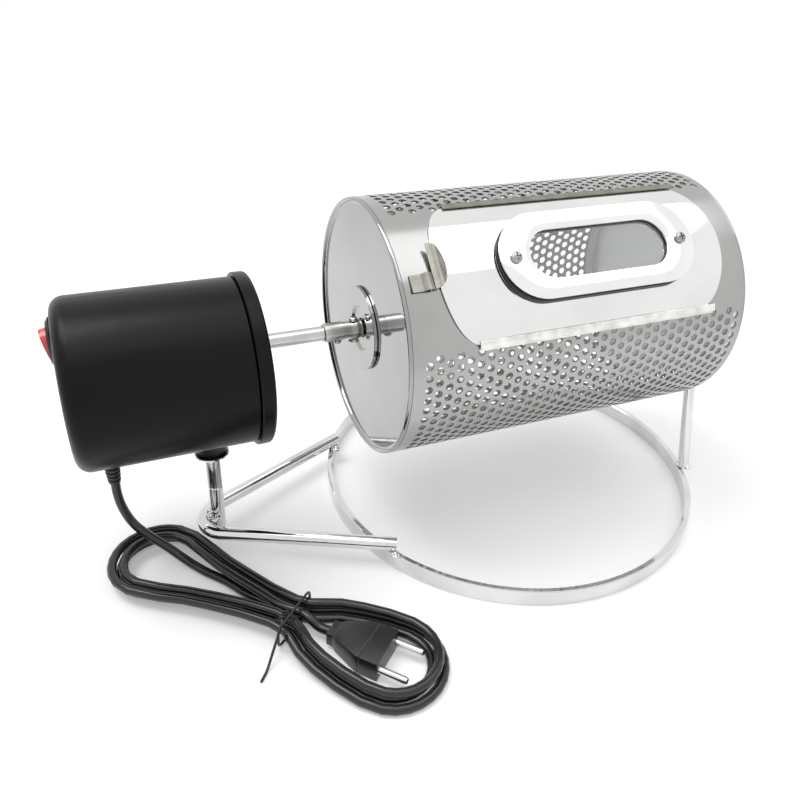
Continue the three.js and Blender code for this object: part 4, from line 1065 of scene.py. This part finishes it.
frame_long, frame_wide = 0.058, 0.023
crown = drum_radius + 0.0016
oval_plate("rubber_gasket", (frame_long, frame_wide), sight,
           lambda y: math.sqrt(crown ** 2 - y * y), crown + 0.0005,
           sheath_finish("gasket_rubber", 0.55), "seal_rubber", "window_gasket")
oval_plate("steel_spacer", (frame_long - 0.0012, frame_wide - 0.0012), (0.0461, 0.0178),
           lambda y: crown + 0.0008, crown + 0.0024, vane_steel, "polished_steel", "window_spacer")
frame_steel = mirror_finish("frame_steel", (0.92, 0.92, 0.915), 0.05)
oval_plate("window_rim", (frame_long, frame_wide), sight, lambda y: crown + 0.0027, crown + 0.0037,
           frame_steel, "polished_steel", "window_frame")


def glass_finish(name):
    """Clear sheet glass with faint finger smears."""
    finish = Finish(name, {"Transmission Weight": 1.0, "IOR": 1.45,
                           "Base Color": (0.96, 0.985, 0.98, 1)})
    finish.feed("Roughness", finish.noise(45, 4) * 0.04)
    return finish.material


painted(glass_finish("window_glass_clear"), "window_glass")
bolt_chrome = chrome_finish("bolt_chrome", (0.4, 0.4, 0.39), 0.1)
outward = drum_frame.to_3x3() @ Vector((0, 0, 1))
for bolt_name, side in (("left", -1), ("right", 1)):
    bolt_head = drum_frame @ Vector((window_x + side * 0.04975, 0, crown + 0.0039))
    fitted(pan_screw("pan_bolt_" + bolt_name, bolt_head, outward,
                     shank=0.0015, length=0.0048, head=0.0031, tall=0.0021),
           bolt_chrome, "door", "chrome", "window_bolt_" + bolt_name)


# Studio: a white floor that keeps a soft shadow and fades into a white surround, which the
# polished steel shows too, and two large soft lamps above that give the steel its bright parts.
def shows_white(tree):
    """1 where the camera looks, and for what metal mirrors and glass lets through; 0 elsewhere."""
    light_path = tree.nodes.new("ShaderNodeLightPath")
    white = Signal(tree, light_path.outputs["Is Camera Ray"])
    for kind in ("Is Glossy Ray", "Is Transmission Ray"):
        white = white.combined("MAXIMUM", white, Signal(tree, light_path.outputs[kind]))
    return white


floor_tone, floor_glow, surround_light = 0.86, 0.27, 0.55
fade_start, fade_end = 0.4, 0.84
bpy.ops.mesh.primitive_plane_add(size=40, location=(0, 0, 0))
floor = bpy.context.object
floor.name = "floor"
floor_finish = Finish("floor_white", {"Base Color": (floor_tone, floor_tone, floor_tone, 1),
                                      "Roughness": 1.0, "Specular IOR Level": 0})
tree = floor_finish.tree
across, along = floor_finish.spot("X"), floor_finish.spot("Y")
reach = (across * across + along * along) ** 0.5
near = floor_finish.ramp(reach, [(fade_start, (1, 1, 1)), (fade_end, (0, 0, 0))])
floor_finish.feed("Alpha", near)
glow = tree.nodes.new("ShaderNodeEmission")
tree.links.new((shows_white(tree) * floor_glow * near).socket, glow.inputs["Strength"])
mixed = tree.nodes.new("ShaderNodeAddShader")
tree.links.new(floor_finish.shader.outputs[0], mixed.inputs[0])
tree.links.new(glow.outputs[0], mixed.inputs[1])
tree.links.new(mixed.outputs[0], tree.nodes["Material Output"].inputs["Surface"])
floor.data.materials.append(floor_finish.material)

world = bpy.data.worlds.new("studio")
bpy.context.scene.world = world
world.use_nodes = True
backdrop = world.node_tree.nodes["Background"]
backdrop.inputs["Color"].default_value = (1, 1, 1, 1)
world.node_tree.links.new(
    (shows_white(world.node_tree) * (1 - surround_light) + surround_light).socket,
    backdrop.inputs["Strength"])


def soft_lamp(name, place, size, power, aim):
    data = bpy.data.lights.new(name, "AREA")
    data.shape = "RECTANGLE"
    data.size, data.size_y = size
    data.energy = power
    lamp = placed(name, data)
    lamp.location = place
    lamp.rotation_euler = (Vector(aim) - Vector(place)).to_track_quat("-Z", "Y").to_euler()


soft_lamp("overhead", place=(near_rim + 0.5, -0.2, 1.9), size=(2.6, 1.5), power=14,
          aim=(near_rim + 0.5, -0.2, 0))
soft_lamp("side", place=(near_rim - 0.65, 0.35, 1.6), size=(0.8, 1.1), power=12,
          aim=(near_rim - 0.12, 0, 0.15))

bpy.context.scene.view_settings.view_transform = "Standard"
